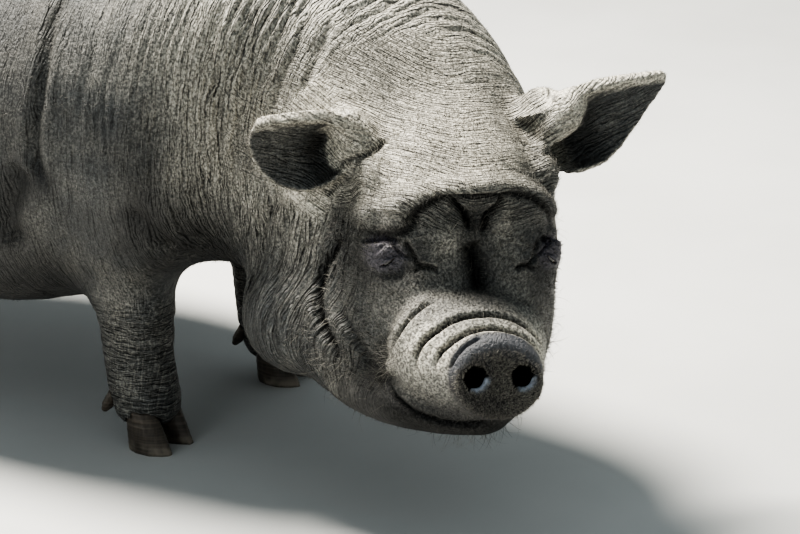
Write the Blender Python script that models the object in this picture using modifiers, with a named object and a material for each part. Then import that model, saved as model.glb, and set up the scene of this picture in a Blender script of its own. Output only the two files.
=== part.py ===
"""A life-size pot-bellied pig, standing still with its head lowered and turned to its right.

The model's own frame: +X is the pig's left, -Y is where its trunk points and +Z is up, in metres.
Sizes are set out from the floor point midway between the forefeet, and at the end everything is
moved so that the origin lies at the floor under the middle of the whole animal.
The flesh is lofted and rounded as one body, then parted by thin cuts into the parts a person would
name.  Ears, eyes, claws, dewclaws and tail are pieces of their own that are let into it.
"""

import math

import bmesh
import bpy
import numpy as np
from mathutils import Matrix, Vector

GAP = 0.0003  # clearance between touching solids
MERGE = 0.00001  # points nearer than this are one
SLIVER = 0.0001  # the same, before a mesh is thinned

# The animal's driving sizes.
WITHERS_HEIGHT = 0.497
BACK_DIP = 0.036
BELLY_CLEARANCE = 0.097
BARREL_HALF_WIDTH = 0.208
NECK_HALF_WIDTH = 0.146
FOREFOOT_SPREAD = 0.103
HINDFOOT_SPREAD = 0.112
HINDFOOT_BACK = 0.490
LEFT_FORE_ADVANCE = 0.004
RIGHT_HIND_ADVANCE = 0.030

# The head's place: the point midway between the eyes, and how the head is turned.
HEAD_CENTRE = Vector((-0.087, -0.335, 0.249))
HEAD_TURN = math.radians(43)
HEAD_PITCH = math.radians(-4)
HEAD_ROLL = math.radians(4)

EYE_RADIUS = 0.0125
EYE_SPREAD = 0.0700
EYE_FORWARD = 0.016
EYE_RISE = 0.003

DISC_CENTRE_DROP = 0.075
DISC_FORWARD = 0.1355
DISC_HALF_WIDTH = 0.0395
DISC_HALF_HEIGHT = 0.0355
DISC_TILT = math.radians(17)
DISC_THICKNESS = 0.020
NOSTRIL_SPREAD = 0.0203
NOSTRIL_DEPTH = 0.0165

MOUTH_DROP = 0.1135  # depth of the lips below the eyes, under the disc
SNOUT_ROOT = 0.064
HEAD_LENGTH = 0.135
NECK_ROOT = -0.100

LEFT_EAR_LENGTH = 0.122
RIGHT_EAR_LENGTH = 0.1055

EAR_THICKNESS = 0.0052
EAR_RIM = 0.0150  # thickness of the rolled upper rim near the root

# Share of the ear's length, upper half-width, lower half-width, curl, forward bow.
POINTED_EAR = [
    (-0.20, 0.046, 0.050, 40.0, -0.026),
    (-0.06, 0.048, 0.056, 37.0, -0.009),
    (0.08, 0.048, 0.058, 33.0, 0.000),
    (0.22, 0.045, 0.056, 29.0, 0.000),
    (0.42, 0.034, 0.047, 22.0, 0.002),
    (0.64, 0.023, 0.032, 17.0, 0.002),
    (0.83, 0.013, 0.018, 14.0, 0.000),
    (0.95, 0.007, 0.010, 12.0, -0.002),
    (1.00, 0.003, 0.003, 10.0, -0.004),
]
DROOPING_EAR = [
    (-0.20, 0.042, 0.044, 60.0, -0.026),
    (-0.06, 0.046, 0.048, 56.0, -0.009),
    (0.08, 0.047, 0.052, 50.0, 0.000),
    (0.22, 0.045, 0.055, 44.0, 0.000),
    (0.42, 0.035, 0.056, 28.0, 0.002),
    (0.64, 0.024, 0.050, 18.5, 0.002),
    (0.83, 0.017, 0.037, 14.0, 0.000),
    (0.95, 0.012, 0.022, 11.0, -0.002),
    (1.00, 0.007, 0.009, 10.0, -0.004),
]

CLAW_LENGTH = 0.050
CLAW_WIDTH = 0.030
CLAW_HEIGHT = 0.040
CLAW_SPREAD = 0.0162

TAIL_LENGTH = 0.235

RING_SIDES = 40
BROAD_VOXEL = 0.011
FINE_VOXEL = 0.0050
CUTTING_TRIANGLES = 30000
PART_TRIANGLES = {
    "trunk": 1400,
    "neck": 560,
    "head": 1620,
    "snout": 250,
    "jaw": 300,
    "foreleg_left": 320,
    "foreleg_right": 320,
    "hindleg_left": 350,
    "hindleg_right": 350,
    "nose_disc": 150,
}

# Which parts each one was cut from.
NEIGHBOURS = {
    "jaw": ("snout", "head"),
    "nose_disc": ("snout",),
    "snout": ("head",),
    "head": ("neck",),
    "foreleg_left": ("trunk",),
    "foreleg_right": ("trunk",),
    "hindleg_left": ("trunk",),
    "hindleg_right": ("trunk",),
    "neck": ("trunk",),
}

LEFT, RIGHT = 1, -1
SIDE_NAMES = {LEFT: "left", RIGHT: "right"}


# ---------------------------------------------------------------- small tools


def clear_scene():
    for obj in list(bpy.data.objects):
        bpy.data.objects.remove(obj)


def make_collection(name, hidden):
    collection = bpy.data.collections.new(name)
    bpy.context.scene.collection.children.link(collection)
    collection.hide_render = hidden
    return collection


def make_material(name, colour, roughness):
    material = bpy.data.materials.new(name)
    material.use_nodes = True
    shader = material.node_tree.nodes["Principled BSDF"]
    shader.inputs["Base Color"].default_value = (*colour, 1.0)
    shader.inputs["Roughness"].default_value = roughness
    shader.inputs["Metallic"].default_value = 0.0
    return material


def make_object(name, mesh, collection):
    obj = bpy.data.objects.new(name, mesh)
    collection.objects.link(obj)
    return obj


def evaluated_mesh(obj):
    """The object's mesh with its modifiers, in world space."""
    bpy.context.view_layer.update()
    graph = bpy.context.evaluated_depsgraph_get()
    mesh = bpy.data.meshes.new_from_object(obj.evaluated_get(graph), depsgraph=graph)
    mesh.transform(obj.matrix_world)
    return mesh


def replace_mesh(obj, mesh):
    obj.modifiers.clear()
    obj.data = mesh
    obj.matrix_world = Matrix.Identity(4)


def bake_modifiers(obj):
    replace_mesh(obj, evaluated_mesh(obj))


def remove(obj):
    bpy.data.objects.remove(obj)


def eased_rows(rows, count):
    """Rows of station values run through a Catmull-Rom curve, so that few stations give many rings."""
    table = np.array(rows, float)
    padded = np.vstack([2 * table[0] - table[1], table, 2 * table[-1] - table[-2]])
    made = []
    for t in np.linspace(0, len(table) - 1, count):
        i = min(int(t), len(table) - 2)
        u = t - i
        a, b, c, d = padded[i : i + 4]
        made.append(
            0.5 * (2 * b + (c - a) * u + (2 * a - 5 * b + 4 * c - d) * u * u + (3 * b - a - 3 * c + d) * u**3)
        )
    return np.array(made)


def section(half_width, top, bottom, pear, fullness):
    """Points of one cross-section as (across, up); pear above 0 puts the widest place low down."""
    points = []
    middle, half_height = (top + bottom) / 2, (top - bottom) / 2
    for k in range(RING_SIDES):
        angle = 2 * math.pi * k / RING_SIDES
        c, s = math.cos(angle), math.sin(angle)
        across = half_width * math.copysign(abs(c) ** fullness, c) * (1 - pear * s)
        points.append((across, middle + half_height * math.copysign(abs(s) ** fullness, s)))
    return points


def loft(name, rings, collection):
    """A closed skin through rings of equal point counts, with a fan over each end."""
    sides = len(rings[0])
    points = [point for ring in rings for point in ring]
    faces = []
    for r in range(len(rings) - 1):
        for k in range(sides):
            n = (k + 1) % sides
            faces.append((r * sides + k, r * sides + n, (r + 1) * sides + n, (r + 1) * sides + k))
    faces.append(tuple(range(sides))[::-1])
    faces.append(tuple((len(rings) - 1) * sides + k for k in range(sides)))
    mesh = bpy.data.meshes.new(name)
    mesh.from_pydata(points, [], faces)
    shape = bmesh.new()
    shape.from_mesh(mesh)
    bmesh.ops.recalc_face_normals(shape, faces=shape.faces)
    shape.to_mesh(mesh)
    shape.free()
    return make_object(name, mesh, collection)


def ellipsoid(name, centre, radii, collection, turn=(0, 0, 0), frame=None, segments=28):
    """A ball scaled to three radii, turned by Euler angles in degrees, in the given frame."""
    shape = bmesh.new()
    bmesh.ops.create_uvsphere(shape, u_segments=segments, v_segments=segments // 2, radius=1.0)
    angles = [math.radians(a) for a in turn]
    rotation = (
        Matrix.Rotation(angles[2], 4, "Z")
        @ Matrix.Rotation(angles[1], 4, "Y")
        @ Matrix.Rotation(angles[0], 4, "X")
    )
    place = Matrix.Translation(centre) @ rotation @ Matrix.Diagonal((*radii, 1.0))
    shape.transform((frame or Matrix.Identity(4)) @ place)
    mesh = bpy.data.meshes.new(name)
    shape.to_mesh(mesh)
    shape.free()
    return make_object(name, mesh, collection)


def box(name, low, high, collection, frame=None):
    shape = bmesh.new()
    bmesh.ops.create_cube(shape, size=1.0)
    size = Vector(high) - Vector(low)
    place = Matrix.Translation((Vector(high) + Vector(low)) / 2) @ Matrix.Diagonal((*size, 1.0))
    shape.transform((frame or Matrix.Identity(4)) @ place)
    mesh = bpy.data.meshes.new(name)
    shape.to_mesh(mesh)
    shape.free()
    return make_object(name, mesh, collection)


def joined(name, objects, collection):
    """One object that holds all these meshes; the objects are used up."""
    shape = bmesh.new()
    for obj in objects:
        mesh = evaluated_mesh(obj)
        shape.from_mesh(mesh)
        remove(obj)
    mesh = bpy.data.meshes.new(name)
    shape.to_mesh(mesh)
    shape.free()
    return make_object(name, mesh, collection)


def rounded_together(obj, voxel, rounds):
    """Melts overlapping forms into one skin and eases the joins."""
    remesh = obj.modifiers.new("melt", "REMESH")
    remesh.mode = "VOXEL"
    remesh.voxel_size = voxel
    ease = obj.modifiers.new("ease", "SMOOTH")
    ease.factor = 0.5
    ease.iterations = rounds
    bake_modifiers(obj)


def boolean(obj, other, operation):
    modifier = obj.modifiers.new(operation.lower(), "BOOLEAN")
    modifier.operation = operation
    modifier.solver = "EXACT"
    modifier.object = other
    bake_modifiers(obj)


def thinned(obj, triangles):
    """Fewer triangles over the same form; flat cuts stay flat."""
    shape = bmesh.new()
    shape.from_mesh(obj.data)
    bmesh.ops.remove_doubles(shape, verts=shape.verts, dist=SLIVER)
    bmesh.ops.triangulate(shape, faces=shape.faces)
    shape.to_mesh(obj.data)
    shape.free()
    present = len(obj.data.polygons)
    thin = obj.modifiers.new("thin", "DECIMATE")
    thin.ratio = min(1.0, triangles / present)
    bake_modifiers(obj)


def copy_of(obj, name, collection):
    return make_object(name, obj.data.copy(), collection)


def grown(obj, by, name, collection):
    """A copy whose surface stands out by the given distance."""
    made = copy_of(obj, name, collection)
    shape = bmesh.new()
    shape.from_mesh(made.data)
    shape.normal_update()
    moves = [v.normal * by for v in shape.verts]
    for vertex, move in zip(shape.verts, moves):
        vertex.co += move
    shape.to_mesh(made.data)
    shape.free()
    return made


def part_off(body, region, name, parts, helpers):
    """Takes what lies in the region off the body as a part of its own, with the usual gap between."""
    region.name = name + "_region"
    cutter = grown(region, GAP, name + "_cut", helpers)
    piece = copy_of(body, name, parts)
    boolean(piece, region, "INTERSECT")
    boolean(body, cutter, "DIFFERENCE")
    remove(cutter)
    return piece


def thin_parts(parts, helpers):
    """Thins each part, then trims what the thinning has pushed across the cuts."""
    for name, triangles in PART_TRIANGLES.items():
        thinned(parts.objects[name], triangles)
    for name, neighbours in NEIGHBOURS.items():
        region = helpers.objects[name + "_region"]
        own = grown(region, GAP * 0.25, name + "_own", helpers)
        boolean(parts.objects[name], own, "INTERSECT")
        clear = grown(region, GAP * 0.75, name + "_clear", helpers)
        for neighbour in neighbours:
            boolean(parts.objects[neighbour], clear, "DIFFERENCE")
        for used in (region, own, clear):
            remove(used)


# ---------------------------------------------------------------- the head's frame


def head_frame():
    """From head axes (+X its left, -Y its nose, +Z its crown, origin between the eyes) to the model's."""
    return (
        Matrix.Translation(HEAD_CENTRE)
        @ Matrix.Rotation(-HEAD_TURN, 4, "Z")
        @ Matrix.Rotation(HEAD_PITCH, 4, "X")
        @ Matrix.Rotation(HEAD_ROLL, 4, "Y")
    )


# ---------------------------------------------------------------- flesh


def body_mass(helpers):
    """Rump to neck in one sweep.

    Each station: across, back, turn, top, bottom, half-width, pear, fullness.
    """
    top, low, wide, neck = WITHERS_HEIGHT, BELLY_CLEARANCE, BARREL_HALF_WIDTH, NECK_HALF_WIDTH
    turn = math.degrees(HEAD_TURN)
    stations = [
        (0.000, 0.634, 0.0, top - 0.150, low + 0.190, wide * 0.16, 0.00, 1.00),
        (0.000, 0.610, 0.0, top - 0.074, low + 0.140, wide * 0.46, 0.00, 0.95),
        (0.000, 0.560, 0.0, top - 0.030, low + 0.105, wide * 0.70, 0.00, 0.90),
        (0.000, 0.480, 0.0, top - 0.008, low + 0.070, wide * 0.82, 0.03, 0.87),
        (0.000, 0.390, 0.0, top - 0.018, low + 0.030, wide * 0.92, 0.10, 0.85),
        (0.000, 0.280, 0.0, top - BACK_DIP, low + 0.003, wide, 0.16, 0.84),
        (0.000, 0.170, 0.0, top - BACK_DIP, low, wide, 0.17, 0.84),
        (0.000, 0.080, 0.0, top - 0.020, low + 0.020, wide * 0.95, 0.12, 0.86),
        (0.000, 0.000, 0.0, top, low + 0.058, wide * 0.87, 0.04, 0.89),
        (0.002, -0.070, 2.0, top + 0.001, low + 0.073, neck * 1.11, 0.00, 0.90),
        (0.006, -0.135, turn * 0.25, top - 0.016, low + 0.066, neck * 1.03, 0.02, 0.88),
        (0.000, -0.190, turn * 0.60, top - 0.044, low + 0.046, neck * 0.99, 0.06, 0.86),
        (-0.022, -0.238, turn * 0.88, top - 0.084, low + 0.030, neck * 0.93, 0.08, 0.88),
        (-0.056, -0.282, turn, top - 0.136, low + 0.030, neck * 0.82, 0.08, 0.92),
    ]
    rings = []
    for across, back, angle, up, down, half_width, pear, fullness in eased_rows(stations, 60):
        place = Matrix.Translation((across, back, 0)) @ Matrix.Rotation(-math.radians(angle), 4, "Z")
        outline = section(half_width, up, down, pear, fullness)
        rings.append([place @ Vector((x, 0, z)) for x, z in outline])
    return loft("body_mass", rings, helpers)


def head_loft(name, stations, count, helpers):
    """A loft in head axes.

    Each station: forward, top, bottom, half-width, sideways shift, lean, pear, fullness.
    Lean tips the ring back at its top, in degrees.
    """
    frame = head_frame()
    rings = []
    for forward, up, down, half_width, shift, lean, pear, fullness in eased_rows(stations, count):
        middle = (up + down) / 2
        place = (
            frame
            @ Matrix.Translation((shift, -forward, middle))
            @ Matrix.Rotation(-math.radians(lean), 4, "X")
        )
        outline = section(half_width, up - middle, down - middle, pear, fullness)
        rings.append([place @ Vector((x, 0, z)) for x, z in outline])
    return loft(name, rings, helpers)


def skull_mass(helpers):
    """Poll, domed forehead and flat face."""
    stations = [
        (-0.190, 0.112, -0.118, 0.108, 0.0, 0, 0.06, 0.96),
        (-0.140, 0.128, -0.136, 0.120, 0.0, 0, 0.12, 0.93),
        (-0.095, 0.131, -0.146, 0.119, -0.003, 0, 0.15, 0.91),
        (-0.055, 0.124, -0.150, 0.109, -0.004, 0, 0.13, 0.90),
        (-0.015, 0.109, -0.150, 0.095, -0.004, 0, 0.08, 0.89),
        (0.015, 0.088, -0.146, 0.085, -0.003, 0, 0.06, 0.88),
        (0.034, 0.064, -0.140, 0.076, -0.003, 0, 0.06, 0.89),
        (0.046, 0.024, -0.132, 0.067, -0.003, 0, 0.04, 0.92),
        (0.056, -0.020, -0.122, 0.056, 0.0, 0, 0.00, 0.96),
    ]
    return head_loft("skull_mass", stations, 36, helpers)


def snout_mass(helpers):
    """The short blunt snout, from the cheeks to the upturned disc."""
    disc_top = -DISC_CENTRE_DROP + DISC_HALF_HEIGHT
    disc_low = -DISC_CENTRE_DROP - DISC_HALF_HEIGHT
    lean = math.degrees(DISC_TILT)
    front, wide = DISC_FORWARD, DISC_HALF_WIDTH
    stations = [
        (0.025, -0.026, -0.120, 0.062, -0.004, 0, 0.0, 0.90),
        (0.050, -0.018, -0.120, 0.069, -0.007, 0, 0.0, 0.86),
        (0.072, -0.018, -0.119, 0.069, -0.009, 4, 0.0, 0.87),
        (0.092, -0.023, -0.117, 0.061, -0.009, 9, 0.0, 0.94),
        (0.110, -0.031, -0.115, 0.052, -0.005, 13, 0.0, 1.0),
        (front - 0.013, disc_top + 0.001, disc_low - 0.001, wide + 0.004, -0.001, lean, 0.0, 0.98),
        (front - 0.002, disc_top, disc_low, wide + 0.001, 0.0, lean, 0.0, 1.0),
        (front, disc_top - 0.001, disc_low + 0.001, wide - 0.001, 0.0, lean, 0.0, 1.0),
    ]
    return head_loft("snout_mass", stations, 26, helpers)


def jaw_mass(helpers):
    """The lower jaw, from the broad throat to a lip that ends just behind the disc.

    It is swung a little to the pig's right, as while chewing.
    """
    stations = [
        (-0.100, -0.070, -0.153, 0.108, -0.014, 0, 0.0, 0.80),
        (-0.050, -0.076, -0.155, 0.100, -0.016, 0, 0.0, 0.80),
        (0.000, -0.082, -0.154, 0.088, -0.018, 0, 0.0, 0.82),
        (0.042, -0.088, -0.149, 0.072, -0.019, 0, 0.0, 0.86),
        (0.078, -0.094, -0.141, 0.055, -0.017, 0, 0.0, 0.92),
        (0.106, -0.100, -0.133, 0.036, -0.014, 0, 0.0, 0.98),
        (0.126, -0.108, -0.124, 0.018, -0.007, 0, 0.0, 1.0),
    ]
    return head_loft("jaw_mass", stations, 20, helpers)


def brow_pads(helpers):
    """The overhanging brow, set out in head axes."""
    frame = head_frame()
    pads = [
        ellipsoid("brow_middle", (0, -0.022, 0.060), (0.042, 0.030, 0.018), helpers, (-14, 0, 0), frame)
    ]
    for side in (LEFT, RIGHT):
        name = SIDE_NAMES[side]
        out = 0.062 if side == LEFT else 0.072
        pads += [
            ellipsoid("brow_" + name, (side * 0.040, -0.012, 0.051), (0.040, 0.028, 0.020), helpers,
                      (-12, side * 20, 0), frame),
            ellipsoid("orbit_" + name, (side * out, 0.024, 0.036), (0.024, 0.037, 0.018), helpers,
                      (0, side * 30, side * 30), frame),
            ellipsoid("temple_" + name, (side * 0.070, 0.040, 0.060), (0.022, 0.036, 0.024), helpers,
                      (0, 0, side * 20), frame),
        ]
    return pads


def ear_lobes(helpers):
    """The thick rolled skin in front of each ear's root, in head axes: name, centre, radius."""
    lobes = [
        ("lobe_top_right", (-0.096, 0.052, 0.101), 0.0170),
        ("lobe_middle_right", (-0.085, 0.053, 0.089), 0.0200),
        ("lobe_low_right", (-0.090, 0.057, 0.073), 0.0165),
        ("lobe_top_left", (0.111, 0.056, 0.120), 0.0150),
        ("lobe_middle_left", (0.101, 0.050, 0.110), 0.0190),
        ("lobe_low_left", (0.090, 0.048, 0.098), 0.0160),
        ("lobe_back_left", (0.086, 0.072, 0.112), 0.0200),
    ]
    frame = head_frame()
    return [ellipsoid(name, centre, (size,) * 3, helpers, (0, 0, 0), frame) for name, centre, size in lobes]


def orbit_hollow(side, helpers):
    """What is dug out of the face around one eye, so that the eye sits deep under the brow."""
    centre = eye_centre(side) + Vector((side * 0.020, -0.030, -0.002))
    name = "orbit_hollow_" + SIDE_NAMES[side]
    return ellipsoid(name, centre, (0.036, 0.031, 0.021), helpers, (0, 0, side * -8), head_frame())


def jowl_pads(helpers):
    """Cheeks, jowls and, on the side the head turns to, the gathered skin of the throat."""
    frame = head_frame()
    pads = [
        ellipsoid("throat", (-0.108, 0.112, -0.082), (0.062, 0.080, 0.060), helpers, (0, 0, -24), frame)
    ]
    for side in (LEFT, RIGHT):
        name = SIDE_NAMES[side]
        fuller = 0.88 if side == LEFT else 1.28
        pads += [
            ellipsoid("cheek_" + name, (side * 0.050, 0.006, -0.048), (0.034, 0.046, 0.036), helpers,
                      (0, 0, side * 30), frame),
            ellipsoid("jowl_" + name, (side * 0.048 * fuller, 0.070, -0.084),
                      (0.055 * fuller, 0.096, 0.064), helpers, (0, 0, side * 14), frame),
        ]
    return pads


def limb(name, stations, spread, helpers):
    """A leg of rings.  Each station: height, forward, out, half-width across, half-depth along."""
    rings = []
    for height, forward, out, across, along in eased_rows(stations, 26):
        ring = []
        for k in range(RING_SIDES):
            angle = 2 * math.pi * k / RING_SIDES
            ring.append(
                Vector((spread + math.copysign(out, spread) + across * math.cos(angle),
                        -forward + along * math.sin(angle), height))
            )
        rings.append(ring)
    return loft(name, rings, helpers)


def foreleg_mass(side, forward, helpers):
    """Each station is set out from the foot; the upper arm sinks into the shoulder."""
    stations = [
        (0.015, forward - 0.004, 0.0, 0.024, 0.024),
        (0.026, forward + 0.000, 0.0, 0.032, 0.034),
        (0.044, forward + 0.000, 0.0, 0.0355, 0.039),
        (0.064, forward - 0.005, 0.0, 0.0345, 0.038),
        (0.090, forward - 0.009, 0.0, 0.0335, 0.037),
        (0.122, forward - 0.009, 0.0, 0.0355, 0.040),
        (0.150, forward - 0.013, 0.002, 0.040, 0.045),
        (0.185, forward - 0.022, 0.004, 0.046, 0.056),
        (0.225, forward - 0.028, 0.002, 0.046, 0.066),
        (0.270, forward - 0.026, -0.010, 0.038, 0.062),
    ]
    return limb("foreleg_mass_" + SIDE_NAMES[side], stations, side * FOREFOOT_SPREAD, helpers)


def hindleg_mass(side, forward, helpers):
    """Cannon upright under a hock that bends back, and a stifle that comes forward to the flank."""
    forward -= HINDFOOT_BACK
    stations = [
        (0.015, forward - 0.004, 0.0, 0.022, 0.024),
        (0.026, forward + 0.000, 0.0, 0.030, 0.034),
        (0.044, forward - 0.001, 0.0, 0.034, 0.038),
        (0.064, forward - 0.008, 0.0, 0.032, 0.035),
        (0.092, forward - 0.017, 0.0, 0.030, 0.034),
        (0.122, forward - 0.026, 0.0, 0.032, 0.040),
        (0.148, forward - 0.025, 0.002, 0.036, 0.047),
        (0.180, forward - 0.011, 0.006, 0.045, 0.060),
        (0.220, forward + 0.002, 0.006, 0.056, 0.082),
        (0.275, forward + 0.004, -0.004, 0.056, 0.096),
        (0.340, forward - 0.006, -0.026, 0.044, 0.086),
    ]
    return limb("hindleg_mass_" + SIDE_NAMES[side], stations, side * HINDFOOT_SPREAD, helpers)


def muscle_pads(helpers):
    """Shoulder blades, upper arms and hams that round out the flanks."""
    pads = []
    for side in (LEFT, RIGHT):
        name = SIDE_NAMES[side]
        pads += [
            ellipsoid("shoulder_" + name, (side * 0.124, 0.000, 0.315), (0.062, 0.094, 0.130), helpers,
                      (-12, side * -8, 0)),
            ellipsoid("upper_arm_" + name, (side * 0.118, 0.012, 0.235), (0.058, 0.080, 0.076), helpers),
            ellipsoid("ham_" + name, (side * 0.094, 0.505, 0.300), (0.088, 0.118, 0.122), helpers,
                      (10, 0, 0)),
        ]
    return pads


def flesh(collection, helpers):
    """The whole body as one mesh, without ears, eyes, claws and tail."""
    bulk = [body_mass(helpers), skull_mass(helpers), *muscle_pads(helpers), *jowl_pads(helpers)]
    bulk.append(foreleg_mass(LEFT, LEFT_FORE_ADVANCE, helpers))
    bulk.append(foreleg_mass(RIGHT, 0.0, helpers))
    bulk.append(hindleg_mass(LEFT, 0.0, helpers))
    bulk.append(hindleg_mass(RIGHT, RIGHT_HIND_ADVANCE, helpers))
    body = joined("flesh", bulk, helpers)
    rounded_together(body, BROAD_VOXEL, 9)
    for side in (LEFT, RIGHT):
        hollow = orbit_hollow(side, helpers)
        boolean(body, hollow, "DIFFERENCE")
        remove(hollow)
    fine = [body, *brow_pads(helpers), *ear_lobes(helpers), snout_mass(helpers), jaw_mass(helpers)]
    body = joined("trunk", fine, collection)
    rounded_together(body, FINE_VOXEL, 9)
    thinned(body, CUTTING_TRIANGLES)
    return body


# ---------------------------------------------------------------- ears


def basis(axis, opening):
    """A frame whose Y runs along the axis, whose Z faces the opening and whose X crosses the ear."""
    along = Vector(axis).normalized()
    face = Vector(opening)
    face = (face - along * face.dot(along)).normalized()
    across = along.cross(face)
    return Matrix((across, along, face)).transposed().to_4x4()


def ear(side, root, axis, opening, length, stations, collection):
    """A cupped leaf: straight along its upper edge, full along its lower one, rolled at the root.

    Each station: share of the length, upper half-width, lower half-width, curl, forward bow.
    """
    strips, columns = 12, 8
    place = head_frame() @ Matrix.Translation(root) @ basis(axis, opening)
    points = []
    for share, upper, lower, curl, bow in eased_rows(stations, strips):
        for k in range(columns):
            reach = -lower + (upper + lower) * k / (columns - 1)
            angle = reach * curl
            across = math.sin(angle) / curl
            rise = (1 - math.cos(angle)) / curl + bow
            points.append(place @ Vector((-side * across, share * length, rise)))
    faces = []
    for r in range(strips - 1):
        for k in range(columns - 1):
            a = r * columns + k
            faces.append((a, a + 1, a + columns + 1, a + columns))
    mesh = bpy.data.meshes.new("ear_" + SIDE_NAMES[side])
    mesh.from_pydata(points, [], faces)
    made = make_object("ear_" + SIDE_NAMES[side], mesh, collection)
    rim = made.vertex_groups.new(name="rim")
    for r in range(strips):
        fade = 1 - 0.60 * r / (strips - 1)
        for k in range(columns):
            near_rim = max(0.0, k - (columns - 4)) / 3
            thickness = EAR_THICKNESS + (EAR_RIM - EAR_THICKNESS) * near_rim * fade
            rim.add([r * columns + k], thickness / EAR_RIM, "REPLACE")
    thick = made.modifiers.new("thick", "SOLIDIFY")
    thick.thickness = EAR_RIM
    thick.vertex_group = "rim"
    thick.offset = 0.0
    bake_modifiers(made)
    shape = bmesh.new()
    shape.from_mesh(made.data)
    bmesh.ops.recalc_face_normals(shape, faces=shape.faces)
    shape.to_mesh(made.data)
    shape.free()
    return made


# ---------------------------------------------------------------- claws, tail, eyes, disc


def claw(name, forward, toe_out, size, collection):
    """One main claw: flat sole, sloping front wall, straight inner side and round outer side."""
    length, width, height = size
    sides = 12
    rings = []
    for level, back_off, scale in ((0.0, 0.0, 1.0), (0.45, 0.008, 0.96), (1.0, 0.019, 0.84)):
        ring = []
        for k in range(sides):
            angle = 2 * math.pi * (k + 0.5) / sides
            c, s = math.cos(angle), math.sin(angle)
            along = -s * length * 0.5
            pinch = 1.0 - 0.38 * max(0.0, s) ** 2
            inner = 0.72 if c * toe_out < 0 else 1.0
            front_slope = back_off * (0.35 + 0.65 * max(0.0, s))
            ring.append(Vector((c * width * 0.5 * pinch * inner * scale,
                                along * (scale if s < 0 else 1.0) + front_slope, level * height)))
        rings.append(ring)
    made = loft(name, rings, collection)
    made.data.transform(Matrix.Translation(forward))
    return made


def dewclaw(name, root, side_turn, collection):
    """A small blunt claw at the back of the pastern, pointing down and back."""
    rings = []
    sides = 8
    for share, radius in ((0.0, 0.0085), (0.65, 0.0074), (1.0, 0.0036)):
        ring = []
        for k in range(sides):
            angle = 2 * math.pi * k / sides
            ring.append(Vector((radius * math.cos(angle), 0.78 * radius * math.sin(angle), -0.024 * share)))
        rings.append(ring)
    made = loft(name, rings, collection)
    lean = Matrix.Rotation(math.radians(32), 4, "X")
    turn = Matrix.Rotation(math.radians(side_turn), 4, "Y")
    made.data.transform(Matrix.Translation(root) @ turn @ lean)
    return made


def foot_claws(end, side, foot, collection):
    """The four claws of one foot; foot is the point on the floor under the leg."""
    made = []
    name = "_".join((end, SIDE_NAMES[side]))
    size = (CLAW_LENGTH, CLAW_WIDTH, CLAW_HEIGHT)
    for which, toe in (("inner", -1), ("outer", 1)):
        across = side * toe
        middle = foot + Vector((across * CLAW_SPREAD, -0.016, 0))
        made.append(claw("claw_%s_%s" % (name, which), middle, across, size, collection))
        root = foot + Vector((across * 0.0175, 0.023, 0.051))
        made.append(dewclaw("dewclaw_%s_%s" % (name, which), root, -across * 8, collection))
    return made


def tail_mass(collection):
    """A straight hanging tail with a flattened end.  Each station: down, back, half-width, half-depth."""
    stations = [
        (-0.004, -0.018, 0.017, 0.016),
        (0.002, 0.006, 0.0155, 0.0145),
        (0.030, 0.022, 0.0125, 0.0115),
        (0.080, 0.030, 0.0100, 0.0092),
        (0.130, 0.032, 0.0085, 0.0075),
        (0.175, 0.030, 0.0095, 0.0065),
        (0.215, 0.027, 0.0105, 0.0055),
        (TAIL_LENGTH, 0.024, 0.0040, 0.0030),
    ]
    table = eased_rows(stations, 17)
    sides = 10
    rings = []
    for i, (down, back, wide, deep) in enumerate(table):
        before, after = table[max(i - 1, 0)], table[min(i + 1, len(table) - 1)]
        heading = Vector((0, after[1] - before[1], -(after[0] - before[0]))).normalized()
        out = Vector((1, 0, 0)).cross(heading)
        centre = Vector((0.006 * math.sin(down * 9), 0.612 + back, WITHERS_HEIGHT - 0.108 - down))
        ring = []
        for k in range(sides):
            angle = 2 * math.pi * k / sides
            ring.append(centre + Vector((wide * math.cos(angle), 0, 0)) + out * deep * math.sin(angle))
        rings.append(ring)
    return loft("tail", rings, collection)


def eye_centre(side):
    return Vector((side * EYE_SPREAD, -EYE_FORWARD, EYE_RISE))


def nostril_cutter(side, helpers):
    """A comma-shaped pit that narrows inwards, in disc axes."""
    rings = []
    sides = 12
    for depth, across, high, drift in (
        (-0.006, 0.0130, 0.0128, 0.0),
        (0.0, 0.0122, 0.0118, 0.0),
        (0.006, 0.0102, 0.0104, 0.001),
        (NOSTRIL_DEPTH, 0.0056, 0.0062, 0.003),
    ):
        ring = []
        for k in range(sides):
            angle = 2 * math.pi * k / sides
            x = side * (NOSTRIL_SPREAD + drift * 0.5) + across * math.cos(angle)
            ring.append(Vector((x, depth, 0.0015 + high * math.sin(angle) + drift)))
        rings.append(ring)
    cutter = loft("nostril_" + SIDE_NAMES[side], rings, helpers)
    cutter.data.transform(disc_frame())
    return cutter


def disc_frame():
    """From disc axes (origin at the middle of its face, -Y outwards) to the model's."""
    return (
        head_frame()
        @ Matrix.Translation((0, -DISC_FORWARD, -DISC_CENTRE_DROP))
        @ Matrix.Rotation(-DISC_TILT, 4, "X")
    )


# ---------------------------------------------------------------- parting and assembly


def slanted_box(name, corner, slope, low, high, helpers, frame=None):
    """A box whose own origin is the corner and which is tipped about the crosswise axis, in degrees."""
    place = Matrix.Translation(corner) @ Matrix.Rotation(math.radians(slope), 4, "X")
    return box(name, low, high, helpers, (frame or Matrix.Identity(4)) @ place)


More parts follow.
